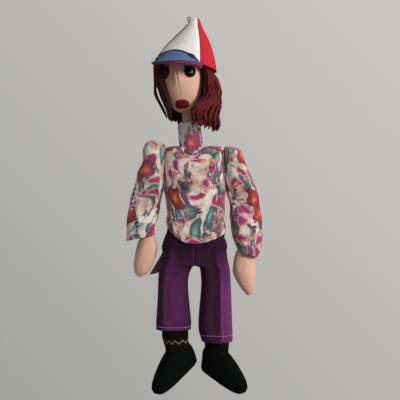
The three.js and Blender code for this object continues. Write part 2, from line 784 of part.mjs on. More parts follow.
function legUpper(name) {
  const rows = legs[name].upper;
  const slope = Math.tan(rad(backSwing + 1));
  const drops = places(rows, 14).slice(1, -1);
  const loops = drops.map((drop) => legLoop(name, rows, drop, 0, slope * Math.max(0, 1 - drop / 40)));
  const first = legLoop(name, rows, gap, 0, slope);
  const solid = skin([first, ...loops, legLoop(name, rows, thighLength - gap / 2)]);
  return solid.subtract(hipSpace()).subtract(kneeSpace());
}

// Room for a cord that runs right across the doll
const bodyWidth = 2 * bodyHalfWidth;
const acrossSpace = (y, z) => rod(at(-bodyWidth, y, z), at(bodyWidth, y, z), cordSpace);
const hipSpace = () => acrossSpace(-hipFront, hips.z);
const kneeSpace = () => acrossSpace(kneeBack, hips.z - thighLength);

function hipCord(name) {
  const [, inner, outer] = legs[name].upper[0];
  const ends = [inner + 9, outer - 9].map((out) => at(legX(name, out), -hipFront, hips.z));
  return rod(ends[0], ends[1], hingeCord);
}

function kneeCord(name) {
  const [, inner, outer] = legs[name].lower[0];
  const ends = [inner + 8, outer - 8].map((out) => at(legX(name, out), kneeBack, hips.z - thighLength));
  return rod(ends[0], ends[1], hingeCord);
}

function ankle(name) {
  const { ankleDrop, ankleOut } = legs[name];
  return at(legX(name, ankleOut), 0, hips.z - ankleDrop);
}

const footRun = (name) => at(legs[name].side * Math.sin(rad(splay)), -Math.cos(rad(splay)), 0);
const footSide = (name) => at(Math.cos(rad(splay)), legs[name].side * Math.sin(rad(splay)), 0);

function legLower(name) {
  const rows = legs[name].lower;
  const last = rows[rows.length - 1][0];
  const drops = places(rows, 14).slice(1);
  const first = legLoop(name, rows, thighLength + gap / 2);
  const solid = skin([first, ...drops.map((drop) => legLoop(name, rows, drop))]);
  const hollow = skin([last + 2, last - 1, last - 10, last - 20, last - hemRun].map((drop) => {
    const open = THREE.MathUtils.smoothstep(drop, last - hemRun, last - 8);
    const loop = legLoop(name, rows, Math.min(drop, last - 1), hemWall);
    const sock = sockLoop(name, drop, gap);
    const turned = loop.map((p, i) => nearest(sock, p).lerp(p, open));
    return turned.map((p) => at(p.x, p.y, hips.z - drop));
  }));
  return solid.subtract(kneeSpace()).subtract(hollow).subtract(sockSolid(name, gap));
}

// The point of a loop that lies in the same direction from its middle as another point
function nearest(loop, p) {
  const middle = loop.reduce((sum, q) => sum.add(q), at(0, 0, 0)).divideScalar(loop.length);
  const wanted = p.clone().sub(middle).setZ(0).normalize();
  const match = (q) => q.clone().sub(middle).setZ(0).normalize().dot(wanted);
  return loop.reduce((best, q) => (match(q) > match(best) ? q : best)).clone();
}

function sockLoop(name, drop, out = 0) {
  const { ankleDrop, ankleOut } = legs[name];
  const middle = at(legX(name, ankleOut), 0, hips.z - drop);
  const below = Math.max(0, drop - ankleDrop);
  const half = below > 0 ? Math.sqrt(Math.max(0.5, sockSocket ** 2 - below ** 2)) : sockAlong;
  return oval(middle, footRun(name), footSide(name), half + out, sockAcross + out, 2.3, 22);
}

function sockSolid(name, out) {
  const { ankleDrop } = legs[name];
  const start = thighLength + 6 - out;
  const drops = [start, ankleDrop - 30, ankleDrop];
  for (let i = 1; i <= 5; i += 1) drops.push(ankleDrop + sockSocket * Math.sin((i / 5) * rad(84)));
  return skin(drops.map((drop) => sockLoop(name, drop, out)));
}

// Room for the sock above the ankle when the foot hangs lowest
function sockSwing(name) {
  const { ankleDrop, pitch } = legs[name];
  const raise = new THREE.Quaternion().setFromAxisAngle(footSide(name), -rad(lowestPitch - pitch));
  const loops = [ankleDrop - 24, ankleDrop].map((drop) => sockLoop(name, drop, gap));
  const raised = loops.map((loop) => loop.map((p) => (
    p.clone().sub(ankle(name)).applyQuaternion(raise).add(ankle(name)))));
  return Manifold.hull([skin(loops), skin(raised)]);
}

function boot(name) {
  const { pitch } = legs[name];
  const turn = new THREE.Quaternion().setFromAxisAngle(footSide(name), rad(pitch));
  const run = footRun(name);
  const side = footSide(name);
  const place = ankle(name);
  const rows = places(bootRows, 9);
  const solid = skin(rows.map((u) => {
    const [, top, sole, half] = along(bootRows, u);
    const middle = run.clone().multiplyScalar(u).add(at(0, 0, (top + sole) / 2));
    return oval(middle, side, at(0, 0, 1), half, (top - sole) / 2, 2.5, 20)
      .map((p) => p.applyQuaternion(turn).add(place));
  }));
  const socket = rod(place.clone().addScaledVector(side, -40), place.clone().addScaledVector(side, 40),
    sockSocket + gap, 36);
  return solid.subtract(socket).subtract(sockSwing(name));
}

// Assembly
const part = new THREE.Group();
const add = (name, solid) => part.add(meshOf(name, solid));

add('hanging_eye', wireEye());
add('cap_front', capPanel(0));
add('cap_side', capPanel(1));
add('cap_back', capPanel(2));
add('cap_stuffing', capSolid((hairTuck + 3) / capHeight, 0.9, felt + gap)
  .subtract(headSpace).subtract(shankSpace));
add('cap_piping', capPiping());
add('peak', peakLayer(0, peakThickness));
add('peak_lining', peakLayer(peakThickness + gap, peakThickness + gap + liningThickness));
add('head', head());
for (const name of ['right', 'left']) add(`eye_${name}`, eye(name));
add('mouth', mouth());
for (const name of ['right', 'left', 'back']) add(`hair_${name}`, hair(name));

add('neck', onNeckLine([...ballRows(neckBall, neckRadius), [collarStart - 1, neckRadius],
  [collarStart + 1, collarRadius - cloth - gap], [collarEnd - gap, collarRadius - cloth - gap],
  [collarEnd, pegRadius], [beadStart, pegRadius], [beadStart + 0.2, beadRadius],
  [beadStart + beadLength, beadRadius]]));
add('neck_cover', onNeckLine([[collarStart, collarRadius], [collarEnd, collarRadius]])
  .subtract(onNeckLine([[collarStart - 1, collarRadius - cloth], [collarEnd + 1, collarRadius - cloth]])));

add('torso', torso());
add('blouse', blouse());
add('blouse_tail', blouseTail());
add('trousers_seat', seat());

for (const name of ['right', 'left']) {
  add(`shoulder_tape_${name}`, shoulderTape(name));
  add(`sleeve_upper_${name}`, sleeveUpper(name));
  add(`elbow_cord_${name}`, crossRod(name, elbowDrop, arms[name].upper, hingeCord, 4));
  add(`sleeve_lower_${name}`, sleeveLower(name));
  add(`hand_${name}`, hand(name));
  add(`hip_cord_${name}`, hipCord(name));
  add(`trouser_upper_${name}`, legUpper(name));
  add(`knee_cord_${name}`, kneeCord(name));
  add(`trouser_lower_${name}`, legLower(name));
  add(`sock_${name}`, sockSolid(name, 0));
  add(`boot_${name}`, boot(name));
}

export default part;
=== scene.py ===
# Looks for a stuffed cloth marionette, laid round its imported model. Places on the doll are written in
# millimetres and turned to metres as each mesh is made. +Z is up, the doll faces -Y, its right is at -X.

import random
from math import atan2, copysign, cos, exp, hypot, pi, radians, remainder, sin, sqrt, tan, tanh, tau

import bmesh
import bpy
from mathutils import Matrix, Vector, noise


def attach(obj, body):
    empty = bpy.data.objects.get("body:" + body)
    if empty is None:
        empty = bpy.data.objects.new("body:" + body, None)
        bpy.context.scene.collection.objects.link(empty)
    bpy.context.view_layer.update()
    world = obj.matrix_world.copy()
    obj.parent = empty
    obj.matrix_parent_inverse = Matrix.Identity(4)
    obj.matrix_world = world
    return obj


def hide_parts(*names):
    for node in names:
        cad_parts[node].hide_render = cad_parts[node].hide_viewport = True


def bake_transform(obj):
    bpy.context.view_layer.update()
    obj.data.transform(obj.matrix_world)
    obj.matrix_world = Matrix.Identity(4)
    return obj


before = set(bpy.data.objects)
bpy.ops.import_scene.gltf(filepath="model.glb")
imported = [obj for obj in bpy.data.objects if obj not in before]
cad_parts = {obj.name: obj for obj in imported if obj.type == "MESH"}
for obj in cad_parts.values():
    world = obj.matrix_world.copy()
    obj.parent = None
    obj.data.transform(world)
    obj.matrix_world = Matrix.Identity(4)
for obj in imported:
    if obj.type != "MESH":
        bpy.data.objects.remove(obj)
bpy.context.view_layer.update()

# The view: a camera level with the doll's waist, a long step away from it and looking straight at it,
# with a narrow field, as in the photograph.
millimetre = 0.001
pixel = 1.44
half_picture = 200
waist = Vector((11, 0, -181))
half_view = radians(14)
camera = bpy.data.objects.new("camera", bpy.data.cameras.new("camera"))
camera.data.lens = camera.data.sensor_width / 2 / tan(half_view)
camera.location = (waist - Vector((0, half_picture / tan(half_view), 0))) * pixel * millimetre
camera.rotation_euler = (radians(90), 0, 0)
bpy.context.scene.collection.objects.link(camera)
bpy.context.scene.camera = camera
bpy.context.scene.view_settings.view_transform = "Standard"


# The room: a pale wall with painted light that makes it a little lighter up and to the right, a pale floor
# well below the hanging doll, a soft window light from the viewer's right and a weak fill from the left.
def add(tree, kind, values=None, **settings):
    node = tree.nodes.new("ShaderNode" + kind)
    for name, value in settings.items():
        setattr(node, name, value)
    for socket, value in (values or {}).items():
        if isinstance(value, bpy.types.NodeSocket):
            tree.links.new(value, node.inputs[socket])
        else:
            node.inputs[socket].default_value = value
    return node


def math_of(tree, operation, *values):
    return add(tree, "Math", dict(enumerate(values)), operation=operation).outputs[0]


def mixed(tree, factor, first, second, **settings):
    return add(tree, "Mix", {0: factor, 6: first, 7: second}, data_type="RGBA", **settings).outputs[2]


def ramp(tree, factor, stops):
    node = add(tree, "ValToRGB", {0: factor})
    while len(node.color_ramp.elements) < len(stops):
        node.color_ramp.elements.new(1)
    for element, (position, colour) in zip(node.color_ramp.elements, stops):
        element.position = position
        element.color = colour
    return node.outputs[0]


def ink(red, green, blue):
    return tuple((c / 255 / 12.92 if c < 11 else ((c / 255 + 0.055) / 1.055) ** 2.4)
                 for c in (red, green, blue)) + (1,)


def inked(tree, factor, *stops):
    return ramp(tree, factor, [(place, ink(*colour)) for place, *colour in stops])


def grey(value):
    return (value, value, value, 1)


def principled(name, colour, roughness, shine=0.5, **sockets):
    made = bpy.data.materials.new(name)
    made.use_nodes = True
    values = {"Base Color": colour, "Roughness": roughness, "Specular IOR Level": shine, **sockets}
    for socket, value in values.items():
        made.node_tree.nodes["Principled BSDF"].inputs[socket.replace("_", " ")].default_value = value
    return made


room = bpy.data.worlds.new("room")
bpy.context.scene.world = room
room.use_nodes = True
tree = room.node_tree
tree.nodes.clear()
sight = add(tree, "SeparateXYZ", {0: add(tree, "TexCoord").outputs["Generated"]}).outputs
# Painted light: the wall's colour is lighter towards the upper right, by the direction of the ray.
rise = math_of(tree, "MULTIPLY_ADD", math_of(tree, "ADD", sight[0], sight[2]), 0.9, 0.5)
wall = inked(tree, rise, (0, 158, 158, 154), (0.55, 187, 186, 183), (1, 205, 202, 199))
rays = add(tree, "LightPath").outputs
seen = math_of(tree, "MAXIMUM", rays["Is Camera Ray"], rays["Is Glossy Ray"])
seen = math_of(tree, "MAXIMUM", seen, rays["Is Transmission Ray"])
room_light = 0.27
lit = add(tree, "Background", {"Color": grey(1), "Strength": room_light})
shown = add(tree, "Background", {"Color": wall, "Strength": 1})
both = add(tree, "MixShader", {0: seen, 1: lit.outputs[0], 2: shown.outputs[0]})
add(tree, "OutputWorld", {0: both.outputs[0]})

floor_radius = 2.4
floor_place = Matrix.Translation((0, 0, -1.3))
floor_mesh = bpy.data.meshes.new("floor")
bm = bmesh.new()
bmesh.ops.create_circle(bm, cap_ends=True, segments=64, radius=floor_radius, matrix=floor_place)
bm.to_mesh(floor_mesh)
bm.free()
floor_mesh.materials.append(principled("floor_paint", ink(190, 188, 185), 0.8))
floor = bpy.data.objects.new("floor", floor_mesh)
bpy.context.scene.collection.objects.link(floor)

doll_middle = Vector((0, 0, -0.26))
lamps = [("window", (1.36, -1.08, 0.36), 0.6, 35), ("fill", (-0.8, -0.75, 1.6), 1.0, 9)]
for name, place, size, power in lamps:
    lamp = bpy.data.objects.new(name, bpy.data.lights.new(name, "AREA"))
    lamp.data.size = size
    lamp.data.energy = power
    lamp.location = place
    lamp.rotation_euler = (doll_middle - lamp.location).to_track_quat("-Z", "Y").to_euler()
    bpy.context.scene.collection.objects.link(lamp)


# Wire eye: a blackened steel wire bent round into a ring, its two ends twisted together and pushed down
# into the stuffing of the cap. The whole doll hangs from it.
def lay(bm, columns, rows, surface, size, start):
    uv = bm.loops.layers.uv.verify()
    verts = bmesh.ops.create_grid(bm, x_segments=columns, y_segments=rows, size=1)["verts"]
    spot = {vert: ((vert.co.x + 1) / 2, (vert.co.y + 1) / 2) for vert in verts}
    for face in {face for vert in verts for face in vert.link_faces}:
        for loop in face.loops:
            u, v = spot[loop.vert]
            loop[uv].uv = (start[0] + u * size[0], start[1] + v * size[1])
    for vert, (u, v) in spot.items():
        vert.co = surface(u, v) * millimetre
    bmesh.ops.remove_doubles(bm, verts=verts, dist=1e-6)


def tube(bm, path, radius, sides=8, turns=1.0, start=0.0):
    path = [Vector(p) for p in path]
    last = len(path) - 1
    deep = Vector((0.1, 1, 0.2))
    frames = []
    for i, place in enumerate(path):
        run = (path[min(i + 1, last)] - path[max(i - 1, 0)]).normalized()
        across = deep.cross(run).normalized()
        deep = run.cross(across)
        frames.append((place, across, deep))
    long = sum((b - a).length for a, b in zip(path, path[1:]))

    def ring(u, v):
        row = round(v * (last + 2))
        place, across, deep = frames[min(max(row - 1, 0), last)]
        if row in (0, last + 2):
            return place
        wide = radius(row - 1) if callable(radius) else radius
        angle = u * tau
        return place + (across * cos(angle) + deep * sin(angle)) * wide

    lay(bm, sides, last + 2, ring, (turns, long * millimetre), (start, 0))


def piece(name, bm, material, body=None, slot=None, stands_for=()):
    bmesh.ops.recalc_face_normals(bm, faces=bm.faces)
    mesh = bpy.data.meshes.new(name)
    bm.to_mesh(mesh)
    bm.free()
    mesh.materials.append(material)
    mesh.shade_smooth()
    made = bpy.data.objects.new(name, mesh)
    bpy.context.scene.collection.objects.link(made)
    if body:
        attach(made, body)
    if stands_for:
        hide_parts(*stands_for)
    return made


def shell(name, grid, surface, *look, size=(1.0, 1.0), start=(0.0, 0.0)):
    bm = bmesh.new()
    lay(bm, *grid, surface, size, start)
    return piece(name, bm, *look)


def effect(name, *numbers, gives=("Shade", "Height")):
    group = bpy.data.node_groups.new(name, "ShaderNodeTree")
    for direction, sockets in (("INPUT", ("Vector", *numbers)), ("OUTPUT", gives)):
        for socket in sockets:
            kind = socket if socket in ("Vector", "Color") else "Float"
            group.interface.new_socket(socket, in_out=direction, socket_type="NodeSocket" + kind)
    return group, group.nodes.new("NodeGroupInput").outputs, group.nodes.new("NodeGroupOutput").inputs


def noise_of(tree, vector, scale, detail, roughness=0.5, output=0, **inputs):
    values = {"Vector": vector, "Scale": scale, "Detail": detail, "Roughness": roughness, **inputs}
    return add(tree, "TexNoise", values).outputs[output]


# Fine dents and dust, used on all that isn't woven: mottled shade and a matching height
mottle, given, wanted = effect("mottle", "Scale", "Fibre")
cloud = noise_of(mottle, given["Vector"], given["Scale"], 5, 0.65)
threads = math_of(mottle, "MULTIPLY", given["Scale"], 6)
fibre = noise_of(mottle, given["Vector"], threads, 3, Distortion=2.5)
fuzz = math_of(mottle, "MULTIPLY", fibre, given["Fibre"])
mottle.links.new(math_of(mottle, "MULTIPLY_ADD", fuzz, 0.35, cloud), wanted["Shade"])
mottle.links.new(math_of(mottle, "MULTIPLY_ADD", cloud, 0.4, fuzz), wanted["Height"])


def with_grain(made, group, values, tints, depth, by_uv=False):
    tree = made.node_tree
    shader = tree.nodes["Principled BSDF"]
    base = shader.inputs["Base Color"]
    place = add(tree, "TexCoord").outputs["UV" if by_uv else "Object"]
    grain = add(tree, "Group", {"Vector": place, **values}, node_tree=group).outputs
    places = (0.25, 0.75)
    if base.is_linked:
        shade = ramp(tree, grain["Shade"], list(zip(places, map(grey, tints))))
        colour = mixed(tree, 1.0, base.links[0].from_socket, shade, blend_type="MULTIPLY")
    else:
        shades = [tuple(min(1, c * tint) for c in base.default_value[:3]) + (1,) for tint in tints]
        colour = ramp(tree, grain["Shade"], list(zip(places, shades)))
    tree.links.new(colour, base)
    bump = add(tree, "Bump", {"Height": grain["Height"], "Distance": depth * millimetre, "Strength": 1})
    tree.links.new(bump.outputs[0], shader.inputs["Normal"])
    return made


def paint(made, colour):
    made.node_tree.links.new(colour, made.node_tree.nodes["Principled BSDF"].inputs["Base Color"])


def on_cloth(tree):
    return add(tree, "SeparateXYZ", {0: add(tree, "TexCoord").outputs["UV"]}).outputs


def mottled(name, colour, roughness, scale, fibre, tints, depth, **sockets):
    made = principled(name, colour, roughness, **sockets)
    return with_grain(made, mottle, {"Scale": scale, "Fibre": fibre}, tints, depth)


steel = mottled("blackened_wire", ink(66, 63, 60), 0.38, 900, 0.4, (0.6, 1.2), 0.05, Metallic=1.0)
ring_radius = 2.5
ring_wire = 0.8
shank_wire = 0.5
shank_reach = 0.55
twist_steps = 40
twist_turn = 0.55
twist_drop = 0.48
bm = bmesh.new()
arc = [i * tau / 40 for i in range(-19, 20)]
tube(bm, [(ring_radius * sin(a), 0, -ring_radius * cos(a)) for a in arc], ring_wire, 12)
for half_turn in (0, pi):
    twist = [(half_turn + i * twist_turn, -ring_radius - 0.1 - i * twist_drop) for i in range(twist_steps)]
    tube(bm, [(shank_reach * cos(a), shank_reach * sin(a), z) for a, z in twist], shank_wire)
piece("wire_eye", bm, steel, "head", "wire", ["hanging_eye"])


# Cap: three pointed gores of felt sewn edge to edge, white in front, red at the doll's left and white
# behind. The rim is cut plain, and a dark cord is sewn down the seam at the doll's right.
def mix(a, b, t):
    return a + (b - a) * t


def smooth(low, high, value):
    t = min(max((value - low) / (high - low), 0), 1)
    return t * t * (3 - 2 * t)


def bell(value, width):
    return exp(-((value / width) ** 2))


def thicken(made, wall, offset):
    cloth = made.modifiers.new("cloth", "SOLIDIFY")
    cloth.thickness = wall * millimetre
    cloth.offset = offset


def felt_cloth(name, colour, tints, shine, scale=260, roughness=1.0, depth=0.5):
    return mottled(name, colour, roughness, scale, 1, tints, depth, shine=shine)


cap_height = 66.1
cap_tip = Vector((10, 0, 0))
cap_rim = Vector((-2.7, 0, -cap_height))
rim_radius = 43.3
tip_radius = 5
rim_tilt = radians(13.2)
cap_belly = 3.5
tip_rise = 2.2
seam_depth = 1.3
seam_width = 2.4
felt = 2.2
borders = [-94, 26, 146, 266]
gore_share = 0.94


def cap_point(angle, height, inset=0.0):
    belly = cap_belly * max(0, 1 - ((height - 0.38) / 0.42) ** 2)
    radius = mix(rim_radius, tip_radius, height) + belly - inset
    tilt = rim_tilt * (1 - height)
    across = radius * sin(angle)
    out = Vector((across * cos(tilt), -radius * cos(angle), -across * sin(tilt)))
    return cap_rim.lerp(cap_tip, height) + out


felt_white = felt_cloth("white_felt", ink(226, 220, 215), (0.93, 1.03), 0.2)
felt_red = felt_cloth("red_felt", ink(184, 42, 53), (0.86, 1.1), 0.1)
panels = [("front", felt_white, "cap_white"), ("side", felt_red, "cap_red"),
          ("back", felt_white, "cap_white")]
for index, (part, finish, slot) in enumerate(panels):
    start, end = (radians(borders[index + k]) for k in (0, 1))

    def gore(u, v):
        angle = mix(start, end, u)
        height = min(1, v / gore_share)
        close = max(0, (v - gore_share) / (1 - gore_share))
        reach = mix(rim_radius, tip_radius, height)
        edge = min(angle - start, end - angle) * reach
        inset = seam_depth * bell(edge, seam_width)
        dent = 0.6 * bell((angle - radians(-40)) * reach, 7) * bell(height - 0.72, 0.22)
        wave = 0.7 * noise.noise(Vector((angle * 2.5, height * 3, 4 + index)))
        if part == "front":
            dent += 3.2 * (1 - (2 * u - 1) ** 2) * bell(height - 0.5, 0.4)
        spot = cap_point(angle, height, inset + dent - wave * (1 - height))
        spot = spot.lerp(cap_tip, smooth(0, 1, close) ** 0.5 if close else 0)
        return spot + Vector((0, 0, tip_rise * sin(close * pi / 2)))

    thicken(shell(f"cap_gore_{part}", (40, 44), gore, finish, "head", slot, [f"cap_{part}"]), felt, -1)


# Seam cord: a thin dark twisted cord, caught in the seam between the white gores at the doll's right. It
# is stitched down from the rim to just below the tip.
ply, given, wanted = effect("ply", "Turns", "Strands")
spun = add(ply, "SeparateXYZ", {0: given["Vector"]}).outputs
aside = math_of(ply, "MULTIPLY", spun[0], given["Strands"])
groove = math_of(ply, "PINGPONG", math_of(ply, "MULTIPLY_ADD", spun[1], given["Turns"], aside), 0.5)
strand = math_of(ply, "FLOOR", spun[0])
strand_tint = add(ply, "TexWhiteNoise", {"W": strand}, noise_dimensions="1D").outputs[0]
tinted = math_of(ply, "MULTIPLY", strand_tint, 0.7)
ply.links.new(math_of(ply, "MULTIPLY_ADD", groove, 0.8, tinted), wanted["Shade"])
ply.links.new(math_of(ply, "MULTIPLY", groove, 2), wanted["Height"])


def plied(name, colour, roughness, turns, tints, depth, strands=1, **sockets):
    made = principled(name, colour, roughness, **sockets)
    return with_grain(made, ply, {"Turns": turns, "Strands": strands}, tints, depth, by_uv=True)


cord_grey = plied("seam_cord", ink(104, 100, 95), 0.8, 500, (0.7, 1.2), 0.3)
cord_ends = (0.01, 0.88)
bm = bmesh.new()
tube(bm, [cap_point(radians(borders[0]), mix(*cord_ends, i / 24), -0.9) for i in range(25)], 1.0, 10)
piece("seam_cord", bm, cord_grey, "head", "cap_cord", ["cap_piping"])


# Peak: blue felt over a magenta lining, its root sewn to the cap in an arch and its edge curling up. A
# dark binding covers the root and the edge, and the felt is gathered into a small fold at the doll's left.
def along(table, place):
    i = 0
    while i < len(table) - 2 and place > table[i + 1][0]:
        i += 1
    a, b = table[i], table[i + 1]
    before, after = table[max(i - 1, 0)], table[min(i + 2, len(table) - 1)]
    span = b[0] - a[0]
    t = (place - a[0]) / span
    row = []
    for k in range(len(a)):
        slope_a = (b[k] - before[k]) / (b[0] - before[0]) * span
        slope_b = (after[k] - a[k]) / (after[0] - a[0]) * span
        row.append(a[k] * (2 * t ** 3 - 3 * t ** 2 + 1) + slope_a * (t ** 3 - 2 * t ** 2 + t)
                   + b[k] * (3 * t ** 2 - 2 * t ** 3) + slope_b * (t ** 3 - t ** 2))
    return row


peak_turn = -19.5
peak_half = 43
peak_reach = 25
peak_corner = 4
peak_arch = 10.8 / cap_height
peak_drops = [(0, -64.5, -66.5), (0.1, -65.5, -69), (0.3, -68, -72), (0.4, -69.5, -73), (0.5, -70.8, -72.6),
              (0.6, -72.2, -72.4), (0.7, -73.4, -72.4), (0.8, -74.6, -73), (0.9, -75.6, -73.8),
              (1, -76.5, -75)]


def peak_point(u, v):
    s = 2 * u - 1
    angle = radians(peak_turn + s * peak_half)
    root = cap_point(angle, peak_arch * (1 - s * s) ** (1.4 if s < 0 else 1.2) + 0.012, -0.3)
    edge = cap_point(angle + radians(5 * s), 0, -(peak_corner + peak_reach * (1 - s * s)))
    place = root.lerp(edge, v)
    _, middle, brim = along(peak_drops, u)
    place.z = mix(root.z, middle, 1 - max(0, 1 - v / 0.5) ** 1.6) + (brim - middle) * smooth(0.5, 1, v)
    height = (place.z - cap_point(angle, 0).z) / cap_height
    if height > 0:
        outside = cap_point(angle, height, -0.9)
        axis = cap_rim.lerp(cap_tip, height)
        if (outside - axis).xy.length > (place - axis).xy.length:
            place.x, place.y = outside.x, outside.y
    return place


def peak_layer(depth):
    step = 0.01

    def surface(u, v):
        along_u = peak_point(min(1, u + step), v) - peak_point(max(0, u - step), v)
        along_v = peak_point(u, min(1, v + step)) - peak_point(u, max(0, v - step))
        tuck = 1.6 * bell(u - 0.84, 0.05) * (1 - smooth(0.3, 0.9, v))
        return peak_point(u, v) + along_u.cross(along_v).normalized() * (depth - tuck)
    return surface


felt_blue = felt_cloth("blue_felt", ink(88, 102, 138), (0.8, 1.15), 0.15)
felt_magenta = felt_cloth("magenta_felt", ink(168, 56, 104), (0.8, 1.15), 0.15)
binding = plied("navy_binding", ink(28, 38, 66), 0.85, 420, (0.7, 1.3), 0.25, Sheen_Weight=0.1)
layers = [("peak_felt", 0.0, 1.7, felt_blue, "peak_blue", "peak"),
          ("peak_under", 2.0, 1.4, felt_magenta, "peak_magenta", "peak_lining")]
for name, depth, thick, finish, slot, node in layers:
    sewn = shell(name, (44, 20), peak_layer(depth), finish, "head", slot, [node])
    thicken(sewn, thick, 1 if sewn.data.polygons[0].normal.z < 0 else -1)

bm = bmesh.new()
tube(bm, [peak_layer(1.5)(mix(0.01, 0.99, i / 40), 1.01) for i in range(41)],
     lambda i: mix(1.9, 0.9, smooth(14, 26, i)), 8)
tube(bm, [peak_layer(-1.6)(mix(0.03, 0.97, i / 40), 0.02) for i in range(41)],
     lambda i: 1.3 + 1.3 * bell(i / 40 - 0.84, 0.09), 8)
piece("peak_binding", bm, binding, "head", "peak_blue")


# Head: two panels of skin-coloured jersey sewn together down the profile and stuffed hard. The seam makes
# the nose and a fine groove down to the mouth, and the jersey is gathered in round the neck.
head_centre = Vector((-10.8, 0, -86.4))
head_half = 31
head_rise = 49
nose_depth = 4.6
socket_depth = 16
socket_edge = (8.6, 11.4)
neck_pivot = Vector((-3, 9, -118))
neck_root = Vector((4.5, 0, -200))
neck_run = (neck_root - neck_pivot).normalized()
head_lean = radians(6.4)
head_turning = Matrix.Rotation(-head_lean, 3, "Y") @ Matrix.Rotation(radians(-10), 3, "Z")


def on_head(x, y, z):
    return head_turning @ Vector((x, y, z)) + head_centre


def head_skin(u, v):
    side = 2 * u - 1
    turn = pi * (0.35 * side + 0.65 * side ** 3)
    level = mix(-pi / 2, pi / 2, v)
    length = 0.3 if sin(level) > -0.05 else 0.15
    nose = nose_depth * bell(turn, 0.24) * bell(sin(level) + 0.05, length) * (1 - 0.25 * bell(turn, 0.05))
    groove = 0.3 * bell(turn * head_half, 0.9)
    reach = head_half * cos(level)
    place = on_head(reach * sin(turn), -reach * cos(turn) - nose + groove, head_rise * sin(level))
    off = place - neck_pivot
    along_neck = off.dot(neck_run)
    across = off - neck_run * along_neck
    reach = hypot(across.x, across.y * 0.66)
    if along_neck > 0:
        angle = atan2(across.y, across.x)
        gather = 0.35 * cos(angle * 17) * bell(reach - 12, 4)
        place -= neck_run * (socket_depth * (1 - smooth(*socket_edge, reach)) - gather)
    return place


def bands(tree, given, direction, distortion, detail=2):
    values = {"Vector": given["Vector"], "Scale": given["Scale"], "Distortion": distortion, "Detail": detail}
    return add(tree, "TexWave", values, bands_direction=direction).outputs[1]


jersey, given, wanted = effect("jersey", "Scale")
loops = math_of(jersey, "MULTIPLY_ADD", bands(jersey, given, "Z", 1), 0.5, bands(jersey, given, "X", 1.5, 1))
blotches = noise_of(jersey, given["Vector"], 55, 3)
jersey.links.new(math_of(jersey, "MULTIPLY_ADD", loops, 0.1, blotches), wanted["Shade"])
jersey.links.new(loops, wanted["Height"])

skin = with_grain(principled("skin_jersey", ink(208, 164, 141), 0.8, shine=0.2), jersey,
                  {"Scale": 420}, (0.93, 1.04), 0.08)
shell("head_skin", (96, 84), head_skin, skin, "head", "skin_jersey", ["head"])


# Eyes: domed buttons of glossy black enamel glued to the jersey, each with a lash of black felt over its
# inner corner.
def face_y(x, z):
    return -head_half * sqrt(max(0.01, 1 - (x / head_half) ** 2 - (z / head_rise) ** 2))


enamel = mottled("black_enamel", ink(12, 12, 10), 0.09, 300, 0, (0.9, 1.1), 0.01, shine=0.16)
felt_black = felt_cloth("black_felt", ink(7, 9, 8), (0.6, 1.5), 0.05, 300)
eye_radius = 8.7
eye_dome = 4.4
eye_turn = radians(35)
for side, name, level in ((-1, "right", 8.4), (1, "left", 5.1)):
    turn = side * eye_turn
    spot = Vector((head_half * sin(turn), 0, level))
    spot.y = face_y(spot.x, level)
    out = Vector((sin(turn), -cos(turn), 0.12)).normalized()
    across = Vector((cos(turn), sin(turn), 0))
    up = across.cross(-out)

    def dome(u, v):
        angle, drop = u * tau, v * 1.75
        rim = (across * cos(angle) + up * sin(angle)) * eye_radius * sin(drop)
        return on_head(*(spot + out * (eye_dome * cos(drop) + 0.2) + rim))

    shell(f"eye_dome_{name}", (40, 16), dome, enamel, "head", "eye_gloss", [f"eye_{name}"])

    def lash(u, v):
        angle = u * tau
        long = cos(angle) * v
        wide = 2.6 * sin(angle) * v * (0.75 + 0.6 * long)
        x = spot.x - side * (4.6 + 1.8 * -long + wide)
        z = level + 6.6 - 5 * long - 0.3 * wide
        return on_head(x, face_y(x, z) - 2.2 * (1 - v ** 3) - 0.1, z)

    shell(f"eye_lash_{name}", (32, 6), lash, felt_black, "head", "eye_gloss")


# Mouth: an oval of dark red felt, padded a little and creased across where the lips meet. It is sewn to
# the jersey all round its edge.
def oval_reach(angle, wide, deep, power):
    return (abs(cos(angle) / wide) ** power + abs(sin(angle) / deep) ** power) ** (-1 / power)


felt_wine = felt_cloth("wine_felt", ink(92, 20, 14), (0.6, 1.25), 0.2, 300, 0.95, 0.4)
mouth_level = -38.4
mouth_half = 10.4
mouth_rise = 6.3


def lips(u, v):
    angle = u * tau
    reach = v * oval_reach(angle, 1, 1, 2.4)
    x = mouth_half * reach * cos(angle)
    z = mouth_level + mouth_rise * reach * sin(angle)
    puff = 2.6 * (1 - v ** 2.5) ** 0.5 - bell(z - mouth_level + 0.4, 1.1) * (1 - v ** 4) - 0.3
    return on_head(x, face_y(x, z) - puff, z)


shell("lips", (48, 14), lips, felt_wine, "head", "mouth_felt", ["mouth"])


# Hair: a bob of thick twisted wool yarn in three parts, sewn in under the cap's rim. It falls straight
# beside the doll's right cheek, where its colour is darkened as painted shade, and in loose waves at its
# left, and the ends are cut by hand.
hair_rows = [(-72, 27, 46, 43, 36), (-58, 28, 49, 45, 37), (-45, 32, 50, 46, 38), (-33, 37, 54, 47, 38),
             (-22, 40, 56, 47, 37), (-8, 40, 54, 46, 37), (4, 39.5, 52, 46, 38), (20, 38, 48, 44, 38)]
hair_ends = [(-180, -148), (-130, -143), (-75, -139), (-50, -146), (0, -153), (30, -153), (70, -155),
             (100, -158), (140, -153), (180, -148)]
yarn_radius = 1.8
yarn_steps = 14
yarn_layers = 3
layer_gap = 2.9
hair_tuck = 7
rim_share = 0.12


def rounded(off):
    return sqrt(max(0, 1 - off ** 2))


